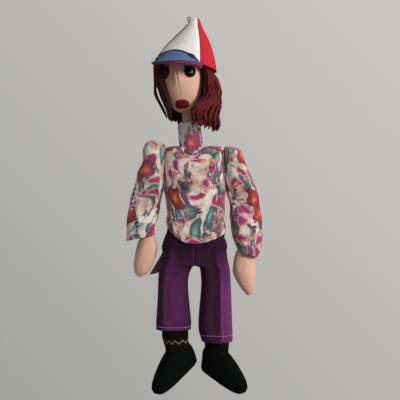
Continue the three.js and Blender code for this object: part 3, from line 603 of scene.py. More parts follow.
def hair_spot(edges, u, v, depth, ragged=0.0):
    rough = mix(20, -60, v)
    first, last = (edge if isinstance(edge, int) else along(edge, rough)[1] for edge in edges)
    turn = mix(first, last, u)
    angle = radians(turn)
    if v < rim_share:
        return cap_point(angle, hair_tuck / cap_height * (1 - v / rim_share), felt + yarn_radius + depth / 2)
    low = along(hair_ends, (turn + 180) % 360 - 180)[1] + ragged
    level = mix(cap_point(angle, 0).z - 1, low, (v - rim_share) / (1 - rim_share)) - head_centre.z
    _, right, left, behind, ahead = along(hair_rows, level)
    across = right if sin(angle) < 0 else left
    deep = behind if cos(angle) < 0 else ahead
    bulge = min(1, 0.92 + (v - rim_share) * 0.8)
    reach = bulge / hypot(sin(angle) / across, cos(angle) / deep) - depth
    skull = 32 * rounded(level / 50) + 1
    clear = 35.5 - 3.5 * max(0, cos(angle)) - 12 * max(0, -sin(angle))
    reach = max(reach, mix(skull, clear, smooth(8, 36, -level)) + yarn_radius)
    axis = head_centre.x - level * tan(head_lean)
    return Vector((axis + reach * sin(angle), -reach * cos(angle), head_centre.z + level))


def yarn(name, colour):
    return plied(name, colour, 0.9, 170, (0.45, 1.45), 0.4, 2, shine=0.2, Sheen_Weight=0.04)


def yarn_width(row):
    return yarn_radius * (0.55 if row == yarn_steps else 1) * (1 + 0.08 * sin(row * 2.2))


random.seed(11)
right_cheek = [(-70, -50), (-50, -52), (-30, -46), (-10, -47), (20, -48)]
left_cheek = [(-70, 13), (-50, 16), (-40, 30), (-28, 45), (-8, 56), (20, 57)]
# The right part's darker yarn colour is painted shade; the other two parts keep lighter tints of the yarn.
hair_parts = [("right", (-149, right_cheek), 17, 0.35, yarn("yarn_painted_shade", ink(44, 15, 13))),
              ("left", (left_cheek, 149), 27, 1.5, yarn("auburn_yarn", ink(82, 19, 17))),
              ("back", (149, 211), 16, 0.8, yarn("brown_yarn", ink(66, 18, 15)))]
for part, edges, count, wave, finish in hair_parts:
    bm = bmesh.new()
    index = 0
    for layer in range(yarn_layers):
        for k in range(count - layer):
            u = (k + 0.5 + random.uniform(-0.25, 0.25)) / (count - layer)
            phase = u * 7 + random.uniform(-0.8, 0.8)
            depth = yarn_radius + layer * layer_gap + random.uniform(-0.7, 0.7)
            ragged = random.uniform(-4, 7)
            loose = layer == 0 and abs(u - 0.57) < 0.065
            path = []
            for row in range(yarn_steps + 1):
                v = row / yarn_steps
                swing = wave * smooth(0.1, 0.45, v)
                sway = 1.9 * sin(v * 12 + phase) + 0.6 * sin(v * 27 + phase * 2)
                aside = min(0.995, max(0.005, u + swing * sway / (count * 3.2)))
                lift = swing * 0.9 * cos(v * 19 + phase)
                if part == "right":
                    lift += -1.5 * bell(v - 0.68, 0.2) if loose else 5.4 * smooth(0.48, 0.62, v)
                path.append(hair_spot(edges, aside, v, depth + lift, ragged))
            tube(bm, path, yarn_width, 6, start=index)
            index += 1
    piece(f"hair_{part}_yarn", bm, finish, "head", "hair_yarn", [f"hair_{part}"])
    backing_end = 0.55 if part == "right" else 0.86

    def backing(u, v):
        return hair_spot(edges, mix(0.04, 0.96, u), mix(0.02, backing_end, v), yarn_radius + 6.5)

    scalp = shell(f"hair_{part}_backing", (24, 20), backing, finish, "head", "hair_yarn", size=(0.09, 0.1))
    thicken(scalp, 1, 0)


# Neck: a stuffed stem of the same jersey, with a ball held in the head, a wider core below it, and a peg
# and bead that turn in the body's stuffing.
neck_turning = Vector((0, 0, -1)).rotation_difference(neck_run).to_matrix()


def on_neck(distance, reach, angle):
    out = neck_turning @ Vector((reach * cos(angle), reach * sin(angle), 0))
    return neck_pivot + neck_run * distance + out


neck_rows = [(-10.9, 0), (-9.5, 5.4), (-5, 9.8), (0, 11), (4, 10.2), (7, 9.2), (14, 8.9), (26, 9),
             (32.5, 9.1), (34, 10.5), (34.6, 14), (36.5, 15.3), (60, 15.4), (79, 15.3), (80.7, 13.5),
             (81, 6.1), (92, 6), (103.9, 6), (104.3, 8.4), (106, 9), (114, 9), (115.8, 8), (116, 0)]


def neck_skin(u, v):
    row = v * (len(neck_rows) - 1) * 0.9999
    a, b = neck_rows[int(row)], neck_rows[int(row) + 1]
    distance, reach = (mix(a[k], b[k], row % 1) for k in (0, 1))
    angle = u * tau
    pleat = 0.3 * cos(angle * 9 + distance * 0.1) * bell(distance - 30, 9)
    return on_neck(distance, max(0, reach + pleat), angle)


neck_grid = (40, (len(neck_rows) - 1) * 3)
shell("neck_skin", neck_grid, neck_skin, skin, "neck", "skin_jersey", ["neck"])


# Neck cover: a tube of the blouse's printed cloth sewn round the neck's core, its top edge folded in and
# its ends meeting in an open slit at the front, a little to the doll's left. The print is a bright
# made-up one of blooms, drops, leaves and strings of beads on cream.
weave, given, wanted = effect("weave", "Scale")
crossing = math_of(weave, "MULTIPLY", bands(weave, given, "X", 1, 1), bands(weave, given, "Y", 1, 1))
slub = noise_of(weave, given["Vector"], 90, 4, 0.7)
weave.links.new(math_of(weave, "MULTIPLY_ADD", crossing, 0.2, slub), wanted["Shade"])
weave.links.new(math_of(weave, "MULTIPLY_ADD", slub, 1.5, crossing), wanted["Height"])

flowers, given, wanted = effect("printed_flowers", "Wash", gives=("Color",))


def reckon(operation, *values):
    return math_of(flowers, operation, *values)


def vector_of(operation, first, second):
    return add(flowers, "VectorMath", {0: first, 1: second}, operation=operation).outputs[0]


def moved_by(**changes):
    return add(flowers, "Mapping", {"Vector": cloth_place, **changes}).outputs[0]


def step_at(value, low, high):
    return add(flowers, "MapRange", {"Value": value, "From Min": low, "From Max": high}).outputs[0]


def over(colour, layer, *shares):
    return mixed(flowers, reckon("MULTIPLY", *shares), colour, layer)


def cells(scale, offset, stretch=(1, 1, 1), turn=0.0):
    moved = moved_by(Location=offset, Scale=stretch, Rotation=(0, 0, turn))
    values = {"Vector": moved, "Scale": scale, "Randomness": 0.75}
    cell = add(flowers, "TexVoronoi", values, voronoi_dimensions="2D").outputs
    draw = add(flowers, "SeparateColor", {0: cell["Color"]}).outputs
    off = add(flowers, "SeparateXYZ", {0: vector_of("SUBTRACT", moved, cell["Position"])}).outputs
    return cell["Distance"], draw, reckon("ARCTAN2", off[1], off[0])


def petals(distance, bearing, count, phase, depth):
    wave = reckon("COSINE", reckon("MULTIPLY_ADD", bearing, count, phase))
    return reckon("MULTIPLY_ADD", wave, depth, distance)


flat = vector_of("MULTIPLY", given["Vector"], (1, 1, 0))
drift = vector_of("SUBTRACT", noise_of(flowers, flat, 40, 1, output="Color"), (0.5, 0.5, 0.5))
cloth_place = vector_of("ADD", flat, vector_of("MULTIPLY", drift, (0.02, 0.02, 0)))

# Cream ground with hazy tints and dark dry brush strokes
haze = noise_of(flowers, flat, 36, 4, 0.6)
colour = inked(flowers, haze, (0.33, 136, 92, 92), (0.41, 196, 150, 134), (0.48, 222, 196, 176),
               (0.56, 226, 218, 206), (0.68, 150, 162, 154))
long_way = moved_by(Scale=(1, 0.4, 1), Rotation=(0, 0, -0.25))
brush = reckon("ADD", noise_of(flowers, long_way, 62, 3, 0.55), given["Wash"])
bristle = noise_of(flowers, long_way, 260, 2)
dark = inked(flowers, bristle, (0.38, 34, 26, 36), (0.52, 78, 50, 66), (0.64, 150, 112, 126))
colour = over(colour, dark, step_at(brush, 0.535, 0.58), 0.9)

# Leaves
distance, draw, _ = cells(52, (3.1, 1.7, 0), (1, 0.42, 1), 0.5)
green = inked(flowers, distance, (0.02, 128, 166, 158), (0.2, 58, 110, 110), (0.33, 32, 60, 56))
colour = over(colour, green, step_at(distance, 0.36, 0.28), step_at(draw[0], 0.54, 0.58))

# Drops with a pale rim
distance, draw, bearing = cells(58, (0.7, 5.3, 0))
edge = petals(distance, bearing, 3, 0.6, 0.05)
chosen = step_at(draw[1], 0.56, 0.6)
for pink, reach in ((ink(206, 146, 162), (0.43, 0.38)), (ink(158, 44, 88), (0.31, 0.27))):
    colour = over(colour, pink, step_at(edge, *reach), chosen)

# Strings of beads that run three ways
string_gap = 0.034
bead_gap = 0.0029
strings = [(0.35, (0.0, 0.004, 0), 0.0027, [ink(30, 30, 58), ink(110, 62, 112)]),
           (-0.5, (0.013, 0.02, 0), 0.0024, [ink(122, 66, 80), ink(172, 110, 124)]),
           (1.2, (0.02, 0.01, 0), 0.0028, [ink(218, 138, 98), ink(196, 150, 134)])]
for turn, offset, size, tints in strings:
    moved = moved_by(Location=offset, Rotation=(0, 0, turn))
    parts = add(flowers, "SeparateXYZ", {0: moved}).outputs
    aside = reckon("MULTIPLY", reckon("PINGPONG", reckon("DIVIDE", parts[0], string_gap), 0.5), string_gap)
    onward = reckon("PINGPONG", reckon("ADD", parts[1], 0.5), bead_gap)
    bead = reckon("SQRT", reckon("ADD", reckon("POWER", aside, 2), reckon("POWER", onward, 2)))
    patch = noise_of(flowers, moved, 21, 0)
    tint = mixed(flowers, step_at(patch, 0.5, 0.56), *tints)
    colour = over(colour, tint, step_at(bead, size, size - 0.0007), step_at(patch, 0.44, 0.48))

# Blooms, and the faded and worn look of it all
distance, draw, bearing = cells(28, (2.2, 4.1, 0))
edge = petals(distance, bearing, 5, 1.1, 0.035)
blot = reckon("SUBTRACT", noise_of(flowers, flat, 110, 3), 0.5)
tone = reckon("MULTIPLY_ADD", blot, 0.5, petals(edge, bearing, 15, 0.4, 0.02))
warm = inked(flowers, tone, (0.0, 226, 134, 98), (0.1, 202, 84, 58), (0.22, 164, 48, 40),
             (0.32, 140, 36, 52), (0.4, 84, 32, 54), (0.46, 60, 30, 44))
cool = inked(flowers, tone, (0.0, 222, 124, 88), (0.12, 196, 84, 68), (0.22, 156, 54, 76),
             (0.34, 104, 48, 84), (0.44, 150, 92, 112))
bloom = mixed(flowers, step_at(draw[0], 0.5, 0.52), warm, cool)
colour = over(colour, bloom, step_at(draw[2], 0.6, 0.63), step_at(edge, 0.43, 0.4))
wear = noise_of(flowers, flat, 75, 4, 0.7)
worn = ramp(flowers, wear, [(0.34, grey(0.62)), (0.5, grey(0.92)), (0.66, grey(1))])
flowers.links.new(mixed(flowers, 1.0, colour, worn, blend_type="MULTIPLY"), wanted["Color"])


def printed(name, offset, wash=0.0):
    made = principled(name, grey(1), 0.85, Sheen_Weight=0.1)
    tree = made.node_tree
    place = add(tree, "TexCoord").outputs["UV"]
    moved = add(tree, "Mapping", {"Vector": place, "Location": offset}).outputs[0]
    paint(made, add(tree, "Group", {"Vector": moved, "Wash": wash}, node_tree=flowers).outputs[0])
    return with_grain(made, weave, {"Scale": 700}, (0.93, 1.03), 0.12, by_uv=True)


def lumps(angle, across, onward, shift=(0, 0, 0)):
    return noise.noise(Vector((cos(angle) * across, sin(angle) * across, onward)) + Vector(shift))


cover_radius = 17.5
cover_start, cover_end = 34, 81
slit_turn = radians(305)


def cover(u, v):
    angle = u * tau
    fold = [(cover_start + 5, -2.2), (cover_start + 1, -2.0), (cover_start - 0.6, -1.0), (cover_start, -0.1)]
    if v < 0.1:
        distance, inset = fold[min(3, int(v * 40))]
    else:
        t = (v - 0.1) / 0.9
        distance = mix(cover_start + 1, cover_end, t)
        inset = 0.5 * lumps(angle, 1.2, distance * 0.07)
        inset -= bell((angle - slit_turn) * cover_radius, 1.3) + 0.8 * bell(t, 0.1)
    return on_neck(distance, cover_radius - 0.6 + inset, angle)


shell("neck_cover_cloth", (72, 40), cover, printed("print_neck", (0.302, 0.07, 0)), "neck", "print_cloth",
      ["neck_cover"], size=(0.11, 0.052))


# Blouse: a stuffed, printed cloth body sewn at the shoulders and sides, open round the neck and gathered
# into a puffed lower edge that is turned in over the top of the trousers.
chest = Vector((8.3, 0, -183))
hip_line = -327
body_half = 44.5
body_squareness = 2.5
body_rows = [(0.4, 14, 9, 9), (1.2, 6, 3.6, 12), (2.6, 0.9, 0.9, 15), (5, 0.1, 0.1, 18), (9, 0, 0, 20.5),
             (17, 0, 0, 23), (37, 0, 0, 25.5), (62, 0.2, 0, 26), (78, 1.6, 0, 26), (95, 4, 0, 26),
             (108, 3.4, -0.2, 26), (121, 4.8, -0.2, 26.6), (142, 5, 0.2, 27.6), (150, 5, 0.4, 28)]


def signed_power(value, power):
    return copysign(abs(value) ** power, value)


def oval(angle, wide, deep, power):
    return wide * signed_power(cos(angle), power), deep * signed_power(sin(angle), power)


def body_ring(drop, angle, inset=0.0):
    _, right, left, deep = along(body_rows, drop)
    low, high = -body_half + right + inset, body_half - left - inset
    x, y = oval(angle, (high - low) / 2, deep - inset, 2 / body_squareness)
    return Vector((chest.x + (low + high) / 2 + x, y, chest.z - drop))


def body_top(x, y):
    low, high = 0.4, 45.0
    for _ in range(18):
        drop = (low + high) / 2
        _, right, left, deep = along(body_rows, drop)
        wide = body_half - (right + left) / 2
        middle = chest.x + (right - left) / 2
        far = (abs(x - middle) / wide) ** body_squareness + (abs(y) / deep) ** body_squareness
        low, high = (low, drop) if far < 1 else (drop, high)
    return (low + high) / 2


def hem_drop(x, y):
    off = x - (chest.x - 4.7)
    front = 138.6 - off * off * (0.0169 if off < 0 else 0.0057)
    return mix(front, 133, smooth(-6, 18, y))


top_share = 0.22
hem_share = 0.9
opening_x, opening_y = 4.5, -1.8
opening_wide, opening_deep = 18.3, 21.2


def blouse(u, v):
    angle = pi / 2 + u * tau
    ring_x = opening_x + opening_wide * cos(angle)
    ring_y = opening_y + opening_deep * sin(angle)
    ring_drop = max(body_top(ring_x, ring_y), 0.4 + 14.5 * smooth(-13, -22, ring_y))
    shoulder = max(9, ring_drop + 4)
    if v < top_share:
        t = v / top_share
        lower = body_ring(shoulder, angle)
        x, y = mix(ring_x, lower.x, t), mix(ring_y, lower.y, t)
        drop = mix(mix(ring_drop, body_top(x, y), smooth(0, 0.3, t)), shoulder, smooth(0.75, 1, t))
        drop += 1.4 * (1 - smooth(0, 0.12, t)) - 0.5 * cos(angle * 14) * bell(t - 0.15, 0.25)
        return Vector((x, y, chest.z - drop))
    t = (v - top_share) / (1 - top_share)
    edge = body_ring(112, angle)
    hem = hem_drop(edge.x, edge.y)
    turned = max(0, (t - hem_share) / (1 - hem_share))
    drop = mix(shoulder, hem, min(1, t / hem_share))
    drop += 1.4 * sin(turned * pi) - 9 * smooth(0.4, 1, turned)
    puff = 1.2 * bell(drop - hem + 9, 7) - 6.5 * smooth(0, 1, turned)
    wave = lumps(angle, 1.6, drop * 0.026)
    gather = 0.7 * cos(angle * 19 + 2 * wave) * bell(drop - hem + 3, 9)
    sash = bell((edge.x - 26) * 0.62 + (drop - 16) * 0.78 - 6 * wave, 3.4)
    sash *= bell(angle - radians(270), 1.2) * smooth(12, 20, drop) * smooth(58, 34, drop)
    side_seam = bell((cos(angle) - 1) * 44, 0.8) + bell((cos(angle) + 1) * 44, 0.8)
    beside = abs(cos(angle)) ** 6 * smooth(2, 12, drop) * smooth(80, 55, drop)
    inset = 0.7 - 0.7 * wave - gather - puff + 0.9 * sash + 0.6 * side_seam - 2 * beside
    return body_ring(drop, angle, inset)


shirt = shell("blouse_body", (150, 110), blouse, printed("print_body", (0.36, -0.08, 0), 0.03), "torso",
              "print_cloth", ["blouse"], size=(0.24, 0.16))


# Blouse tail: a loose flap of dark printed lining sewn in under the back of the blouse. It hangs down
# behind the trousers, and its corner shows behind the doll's right hip.
tail_top = 131
tail_length = 57
tail_lean = radians(13)


def tail(u, v):
    drop = tail_top + v * (tail_length - 5 * u) - 13 * v * sin(u * pi) ** 2
    x = chest.x + mix(mix(-33, -67.5, v), mix(38, 34, v), u)
    ripple = 1.5 * v * sin(u * 17) + 0.5 * sin(u * 41 + v * 3) * v
    y = 25.4 - 2.6 * (2 * u - 1) ** 2 + v * 50 * tan(tail_lean) + ripple
    return Vector((x, y, chest.z - drop))


lining = with_grain(principled("dark_lining", ink(142, 106, 114), 0.9, shine=0.2), weave,
                    {"Scale": 600}, (0.55, 1.25), 0.15, by_uv=True)
flap = shell("blouse_tail_cloth", (48, 24), tail, lining, "torso", "tail_cloth", ["blouse_tail"],
             size=(0.09, 0.056))
thicken(flap, 0.7, 0)


# Sleeves: puffed tubes of the printed cloth, lightly stuffed and gathered at the shoulder, the elbow and
# the cuff. A tape sews each one to the body, and the cuff is turned in.
arms = {"right": (-1, 129.5, 25.5, 4, (0.166, 0.075, 0),
                  [(-10.5, 11, 20), (-8.5, 8, 24.5), (-3.5, 6, 27.5), (0, 3.6, 29.4), (4.5, 3.6, 30),
                   (19.5, 2.6, 30.2), (33.5, 0.6, 36.3), (51.5, 0.6, 40.5), (67.5, 1.2, 46.3),
                   (82.5, 3.2, 49.3), (101.5, 7.4, 52.4), (112.5, 10.8, 53.3), (123.5, 11.6, 53.7),
                   (128.5, 11.6, 53.4)]),
        "left": (1, 151.5, 28, 5, (0.623, 0.135, 0),
                 [(-1.5, 6.5, 12), (0, 3.6, 16), (2.5, 3.6, 19), (4.5, 3.6, 21.4), (13.5, 3, 24.7),
                  (27.5, 1.2, 30.2), (47.5, 0.6, 39.6), (67.5, 0.9, 46.7), (82.5, 4.6, 48),
                  (100.5, 3.9, 50.6), (117.5, 6, 51.9), (135.5, 9.9, 51.2), (146.5, 13.6, 48.4),
                  (151.5, 15.4, 46)])}
elbow_drop = 82.5
sleeve_half = 19
shoulder_gap = 1.5
shoulder_drop = 3.5
closed_share = 0.04
cuff_share = 0.93


def shoulder_of(side):
    return Vector((chest.x + side * (body_half + shoulder_gap), 0, chest.z - shoulder_drop))


for name, (side, _, _, slant, offset, rows) in arms.items():
    shoulder = shoulder_of(side)
    first, last = rows[0][0], rows[-1][0]

    def sleeve(u, v):
        angle = u * tau
        open_now = 1 - min(1, v / closed_share)
        turned = max(0, (v - cuff_share) / (1 - cuff_share))
        drop = mix(first, last, max(0, min(1, (v - closed_share) / (cuff_share - closed_share))))
        _, inner, outer = along(rows, drop)
        inner = mix(inner, mix(-5, inner, smooth(40, 76, drop)), smooth(-11, -4, drop))
        dome = min(1, (drop - first + 1.5) / 16)
        pinch = tanh(abs(drop - elbow_drop) * 0.9 / sleeve_half) ** 2
        deep = sleeve_half * mix(0.42, 1, pinch) * rounded(1 - dome)
        wave = lumps(angle, 1.7, drop * 0.035, (0, side * 5, 0))
        gather = 0.9 * cos(angle * 9 + 3 * wave) * (bell(drop - elbow_drop, 12) + 0.7 * bell(drop - last, 9))
        crease = 1.5 * bell(sin(angle * 1.5 + drop * 0.05 + side), 0.16) * smooth(10, 50, drop)
        inset = max(0, 0.6 - 0.8 * wave - gather + crease)
        inset += 3.2 * smooth(0, 0.5, turned) + 12 * smooth(0.6, 1, turned)
        closing = rounded(open_now)
        half = max(0.3, (outer - inner) / 2 - inset) * closing
        x, y = oval(angle, half, max(0.3, deep - inset) * closing, 0.87)
        lean = slant * smooth(last - 30, last, drop) * -cos(angle)
        rise = 0.8 * sin(turned * pi * 0.6) - 8 * smooth(0.25, 1, turned) - 1.2 * open_now
        return shoulder + Vector((side * ((inner + outer) / 2 - x), y, -drop - lean - rise))

    made = shell(f"sleeve_{name}", (84, 104), sleeve, printed(f"print_sleeve_{name}", offset), None,
                 "print_cloth", [f"sleeve_upper_{name}", f"elbow_cord_{name}", f"sleeve_lower_{name}"],
                 size=(0.125, 0.16))
    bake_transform(made)


# Hands: flat mittens of skin-coloured jersey sewn round the edge and stuffed, with no fingers or thumb.
# The rounded top of each one is held loosely inside the cuff.
hands = {"right": [(0, -3.2, 10.5, 9), (5, -3.4, 13.4, 11), (12, -2.8, 14.8, 12.2), (22, -0.8, 15.2, 12.4),
                   (38, 2.8, 13.8, 11), (49, 5.4, 9.6, 8), (53, 6.4, 5, 5)],
         "left": [(0, -1.8, 13.4, 9), (4, -1.8, 15, 10.8), (14, -2.4, 16.2, 12), (24, -2.6, 16.6, 12.6),
                  (33, -1.6, 15.4, 12), (45, 0.9, 11.4, 9.8), (53, 2.8, 7.4, 7), (57.5, 3.6, 4.2, 4.2)]}
held_top = -9
tip_round = 2.5
for name, rows in hands.items():
    side, wrist, wrist_out, *_ = arms[name]
    centre = shoulder_of(side) + Vector((side * wrist_out, 0, -wrist))
    tip = rows[-1][0]

    def mitten(u, v):
        angle = u * tau
        drop = mix(held_top, tip + tip_round, v)
        _, shift, half, deep = along(rows, min(max(drop, 0), tip))
        scale = rounded(min(drop, 0) / held_top) * rounded(max(0, drop - tip) / tip_round)
        puff = 0.5 * lumps(angle, 2, drop * 0.06, (0, 0, side)) - 0.5 * bell(sin(angle) * half, 0.7)
        return centre + Vector((side * shift + (half + puff) * scale * cos(angle),
                                (deep + puff) * scale * sin(angle), -drop))

    hand = shell(f"mitten_{name}", (56, 60), mitten, skin, f"hand_{name}", "skin_jersey", [f"hand_{name}"])


# Trousers: plum cotton, stuffed lightly. The seat is part of the body and each leg is sewn on below it.
# The fabric runs on through the hip and the knee, and it is creased there.
plum = principled("plum_cotton", ink(72, 28, 66), 0.9, shine=0.15)
tree = plum.node_tree
place = on_cloth(tree)
# Painted light and shade round each leg and the seat: a ramp along the cloth's width gives darker shaded
# sides, lit strips and painted highlights on the pressed creases.
round_it = add(tree, "MapRange", {"Value": place[0], "From Min": -0.3, "From Max": 0.45}).outputs[0]
painted_light_and_shade = inked(tree, round_it, (0.0, 58, 23, 52), (0.05, 62, 25, 57), (0.08, 66, 27, 60),
              (0.0835, 104, 54, 98), (0.087, 88, 37, 82), (0.108, 86, 36, 80), (0.13, 62, 25, 57),
              (0.15, 50, 20, 45), (0.2, 58, 23, 52), (0.4, 48, 19, 43), (0.55, 46, 18, 42),
              (0.62, 74, 30, 68), (0.7, 48, 19, 43), (0.799, 58, 23, 52), (0.808, 60, 24, 54),
              (0.8125, 112, 58, 106), (0.817, 92, 39, 86), (0.845, 120, 52, 110), (0.864, 84, 35, 78),
              (0.9, 58, 23, 52), (0.95, 48, 19, 43), (1.0, 58, 23, 52))
# Painted shade under the blouse's overhang: the cloth darkens towards the low end of its UV height, which is
# the top of each thigh.
below = add(tree, "MapRange", {"Value": place[1], "From Min": 0.002, "From Max": 0.06}).outputs[0]
paint(plum, mixed(tree, below, ink(44, 17, 40), painted_light_and_shade))
with_grain(plum, weave, {"Scale": 620}, (0.75, 1.15), 0.15, by_uv=True)
middle_x = 8.6
seat_rows = [(0, 47.4, 46.8, 22, 20), (6, 45.8, 45.6, 22, 20.5), (12, 43.8, 43, 22, 21),
             (20, 40.6, 42.4, 22, 21.6), (34.7, 37.8, 42.4, 22.4, 22.4)]
seat_height = seat_rows[-1][0]


def seat_shape(rise):
    _, right, left, front, back = along(seat_rows, rise)
    return middle_x - 0.3 + (left - right) / 2, (back - front) / 2, (left + right) / 2, (front + back) / 2


def seat(u, v):
    angle = pi / 2 + u * tau
    rise = seat_height * v
    middle, level, wide, deep = seat_shape(rise)
    groove = 0.5 * bell(cos(angle) * wide, 1.0)
    x, y = oval(angle, wide - groove, deep - groove, 1 / 1.3)
    return Vector((middle + x, level + y, hip_line + rise))


made = shell("trouser_seat", (96, 20), seat, plum, "torso", "trouser_cloth", ["trousers_seat"],
             size=(0.22, 0.035))

legs = {"right": (-1, 149, 25.6, 32,
                  [(0, 0, 47.4), (13, 0, 49), (27, 0, 51), (28.5, 3, 51.2), (31, 4.6, 51.5), (39, 8, 52.2),
                   (53, 9.8, 53), (73, 8.4, 53.8), (100, 6.2, 55.2), (114, 5.4, 56), (120, 6.2, 55.6),
                   (123, 8, 53.8)]),
        "left": (1, 153, 31.4, 22,
                 [(0, 0, 46.6), (13, 0, 48.4), (27, 0, 49.8), (28.5, 5, 50), (31, 6.4, 50.3), (39, 7.8, 51),
                  (53, 8.4, 51.6), (73, 7.2, 52.4), (100, 5.4, 53.8), (120, 5.4, 54.8), (132, 8.4, 54.6),
                  (137, 11, 53.4), (140, 13.6, 51.4)])}
leg_front, leg_back = 21.6, 20
leg_squareness = 2.6
knee_drop = 73
split_drop = 50
hip_bend = (0, 23)
knee_bend = (61, 85)


def seat_reach(centre, side, angle):
    middle, level, wide, deep = seat_shape(0)
    low, high = 0.0, 90.0
    for _ in range(16):
        reach = (low + high) / 2
        x, y = centre.x + reach * cos(angle), centre.y + reach * sin(angle)
        far = (abs(x - middle) / wide) ** leg_squareness + (abs(y - level) / deep) ** leg_squareness
        inside = far < 1 and (x - middle_x) * side > -0.4
        low, high = (reach, high) if inside else (low, reach)
    return low


def leg_ring(name, drop, angle, inset=0.0):
    side, *_, rows = legs[name]
    _, inner, outer = along(rows, drop)
    inner = max(inner, 0.3)
    centre = Vector((middle_x + side * (inner + outer) / 2, (leg_back - leg_front) / 2, hip_line - drop))
    reach = oval_reach(angle, (outer - inner) / 2 - inset, (leg_back + leg_front) / 2 - inset, leg_squareness)
    if drop < 38:
        centre.y = mix(seat_shape(0)[1], centre.y, smooth(0, 30, drop))
        inner_side = smooth(0.3, -0.3, side * cos(angle))
        split = mix(smooth(2, 34, drop), smooth(25.5, 31, drop), inner_side)
        inset *= smooth(4, 14, (centre.x + cos(angle) * reach - middle_x) * side + 12 * split)
        reach = mix(seat_reach(centre, side, angle) - inset, reach, split)
    return centre + Vector((cos(angle), sin(angle), 0)) * reach


def leg_wrinkle(name, drop, angle):
    side = legs[name][0]
    wave = lumps(angle, 1.3, drop * 0.022, (side * 3, 0, 0))
    knee = 0.7 * bell(sin(drop * 0.26 + cos(angle)), 0.35) * bell(drop - knee_drop, 16)
    knee *= smooth(-0.3, 0.8, sin(angle))
    hip = 0.8 * bell(sin(drop * 0.2 + side * cos(angle) * 1.6), 0.3) * bell(drop - 12, 15)
    off = remainder(angle - radians(290 if side > 0 else 238), tau)
    pressed = 1.3 * bell(off, 0.14) - 1.6 * bell(off + side * 0.55, 0.3)
    pressed *= mix(0.35, 1, smooth(0, 12, drop)) * (1 if side > 0 else smooth(60, 34, drop))
    under = 2.2 * bell(cos(angle) * 20 + side * 22, 16)
    under *= max(0, -sin(angle)) * smooth(30, 4, drop)
    return (0.3 - 1.1 * wave + knee + hip) * smooth(0, 6, drop) - pressed + under


ankle_ball = 17.4
ankle_long, ankle_wide = 17, 13.6
splay = radians(60)


def foot_axes(side):
    return (Vector((side * sin(splay), -cos(splay), 0)),
            Vector((cos(splay), side * sin(splay), 0)))


def sock_ring(name, drop, angle):
    side, ankle_drop, ankle_out, *_ = legs[name]
    run, over_foot = foot_axes(side)
    upward = smooth(ankle_drop + 2, ankle_drop - 22, drop)
    grow = (2.2 if side < 0 else 1.2) * upward
    below = max(0, drop - ankle_drop)
    half = sqrt(max(0.5, ankle_ball ** 2 - below ** 2)) if below else ankle_long
    forward, sideways = oval(angle, half + grow, ankle_wide + grow, 0.87)
    shift = -3 * upward if side < 0 else 0
    centre = Vector((middle_x + side * ankle_out + shift, 0, hip_line - drop))
    return centre + run * forward + over_foot * sideways


def hem_inset(name, last, drop, angle):
    return leg_wrinkle(name, drop, angle) * smooth(last, last - 14, drop) + 0.25 * bell(drop - last + 5, 3)


thread_pale = plied("pale_thread", ink(186, 150, 184), 0.7, 900, (0.8, 1.1), 0.1)
hem_turn = 0.84
hem_depth = 24
stitch_count = 30
stitch_length = 0.78
for name, (side, *_, rows) in legs.items():
    last = rows[-1][0] - 4.6

    def upper(u, v):
        angle, drop = u * tau - pi / 2 * side, (split_drop + 2) * v
        tuck = 0.4 * smooth(split_drop, split_drop + 2, drop)
        return leg_ring(name, drop, angle, leg_wrinkle(name, drop, angle) + tuck)

    def lower(u, v):
        angle = u * tau - pi / 2 * side
        turned = max(0, (v - hem_turn) / (1 - hem_turn))
        drop = mix(split_drop, last, min(1, v / hem_turn))
        spot = leg_ring(name, drop, angle, hem_inset(name, last, drop, angle) + 2.2 * smooth(0, 0.15, turned))
        spot.z += hem_depth * max(0, turned - 0.12) - 0.9 * bell(turned - 0.12, 0.12)
        if turned > 0.5:
            inner = sock_ring(name, drop, angle - radians(30))
            inner.z = spot.z
            spot = spot.lerp(inner, smooth(0.5, 1, turned))
        return spot

    parts = [("thigh", upper, 52, (0.0, split_drop + 2), ("torso", f"thigh_{name}"), hip_bend,
              ("trouser_upper", "hip_cord")),
             ("shin", lower, 96, (split_drop, last + hem_depth), (f"thigh_{name}", f"shin_{name}"), knee_bend,
              ("trouser_lower", "knee_cord"))]
    for part, surface, rounds, (first, end), bodies, (above, below), nodes in parts:
        made = shell(f"trouser_{part}_{name}", (80, rounds), surface, plum, None, "trouser_cloth",
                     [f"{node}_{name}" for node in nodes], size=(0.15, (end - first) * millimetre),
                     start=(0.3 * side, first * millimetre))
        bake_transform(made)

    bm = bmesh.new()
    stitch_drop = last - (4 if side < 0 else 9)
    for k in range(stitch_count):
        stitch = []
        for t in (0.0, 0.2, 0.39, 0.58, stitch_length):
            angle = (k + t) / stitch_count * tau
            sunk = hem_inset(name, last, stitch_drop, angle) - 0.15
            sunk += 0.6 * abs(2 * t / stitch_length - 1) ** 3
            stitch.append(leg_ring(name, stitch_drop, angle, sunk))
        tube(bm, stitch, 0.34, 5)
    piece(f"hem_stitches_{name}", bm, thread_pale, f"shin_{name}", "thread")


# Socks: fine black knitted tubes with a rib and one small zigzag band, pulled over the stuffed ankles. The
# rounded lower end of each one turns in its boot.
rib, given, wanted = effect("rib", "Scale")
ribs = bands(rib, given, "X", 0.4, 1)
fluff = math_of(rib, "MULTIPLY", noise_of(rib, given["Vector"], 300, 3), 0.6)
rib.links.new(math_of(rib, "MULTIPLY_ADD", ribs, 0.4, fluff), wanted["Shade"])
rib.links.new(ribs, wanted["Height"])

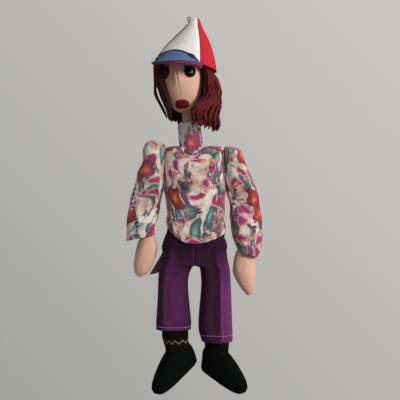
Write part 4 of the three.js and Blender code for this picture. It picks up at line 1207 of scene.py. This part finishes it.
knit_black = ink(9, 8, 6)
zigzag_rise = 0.0045
zigzag_level = 0.0545
knit = principled("black_knit", knit_black, 0.95, shine=0.1)
tree = knit.node_tree
place = on_cloth(tree)
folded = math_of(tree, "PINGPONG", place[0], zigzag_rise)
zigzag = math_of(tree, "MULTIPLY_ADD", folded, 1.1, zigzag_level)
near = math_of(tree, "ABSOLUTE", math_of(tree, "SUBTRACT", place[1], zigzag))
line = add(tree, "MapRange", {"Value": near, "From Min": 0.0012, "From Max": 0.0006}).outputs[0]
paint(knit, mixed(tree, line, knit_black, ink(112, 108, 92)))
with_grain(knit, rib, {"Scale": 330}, (0.6, 1.4), 0.2, by_uv=True)
sock_top = knee_drop + 6
sock_sole = 17.2
for name, (_, ankle_drop, *_) in legs.items():
    bottom = ankle_drop + sock_sole

    def sock(u, v):
        return sock_ring(name, mix(sock_top, bottom, v), u * tau)

    made = shell(f"ankle_sock_{name}", (56, 48), sock, knit, f"shin_{name}", "sock_knit", [f"sock_{name}"],
                 size=(0.099, (bottom - sock_top) * millimetre))


# Boots: pointed boots of black felt, two sides sewn together over the foot and a flat sole, stuffed hard.
# Each one is held by the end of the sock that is pushed down into it.
boot_rows = [(-20, -2, -20, 5), (-18.5, 4, -28, 10), (-13, 7.5, -33.5, 13), (0, 9, -36, 14.6),
             (16, 6.5, -37.5, 14.8), (27, 1.5, -38.5, 15), (40, -6, -39, 14), (51, -13, -38.5, 10.5),
             (58, -18, -36, 6.8), (61.5, -22, -32, 3)]
heel, toe = boot_rows[0][0], boot_rows[-1][0]
heel_round = 0.61
toe_round = 0.91
for name, (side, ankle_drop, ankle_out, pitch, _) in legs.items():
    ankle = Vector((middle_x + side * ankle_out, 0, hip_line - ankle_drop))
    run, over_foot = foot_axes(side)
    tilt = Matrix.Rotation(radians(pitch), 3, over_foot)

    def boot(u, v):
        angle = u * tau
        share = 0.5 - 0.5 * cos(v * pi) if v < 0.06 or v > 0.94 else v
        reach = mix(heel - heel_round, toe + toe_round, share)
        _, top, sole, half = along(boot_rows, min(max(reach, heel), toe))
        rounding = max(0, (heel - reach) / heel_round, (reach - toe) / toe_round)
        end = rounded(rounding)
        seam = 0.6 * bell(cos(angle) * half, 0.8)
        sole_edge = 0.5 * bell((top - sole) / 2 * (sin(angle) + 1) - 5, 1.0)
        tall = (top - sole) / 2 + seam * sin(angle)
        wide, high = oval(angle, (half - sole_edge) * end, tall * end, 0.8)
        level = (top + sole) / 2 + high
        if side > 0:
            reach += 3.6 * smooth(-4, -16, reach) * smooth(-2, -22, level)
        return tilt @ (run * reach + over_foot * wide + Vector((0, 0, level))) + ankle

    made = shell(f"pointed_boot_{name}", (64, 72), boot, felt_black, f"foot_{name}", "boot_felt",
                 [f"boot_{name}"])


# The parts inside and between: the wadding in the cap and the body, and the tapes that the sleeves swing
# on. They are left as the model has them and only get their finish.
wadding = mottled("wadding", ink(214, 210, 200), 0.95, 120, 1, (0.85, 1.05), 0.8, Sheen_Weight=0.2)
tape = mottled("shoulder_tape", ink(96, 82, 92), 0.85, 500, 1, (0.8, 1.1), 0.2)
for finish, nodes in ((wadding, ("cap_stuffing", "torso")),
                      (tape, ("shoulder_tape_right", "shoulder_tape_left"))):
    for node in nodes:
        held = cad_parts[node]
        held.data.materials.clear()
        held.data.materials.append(finish)
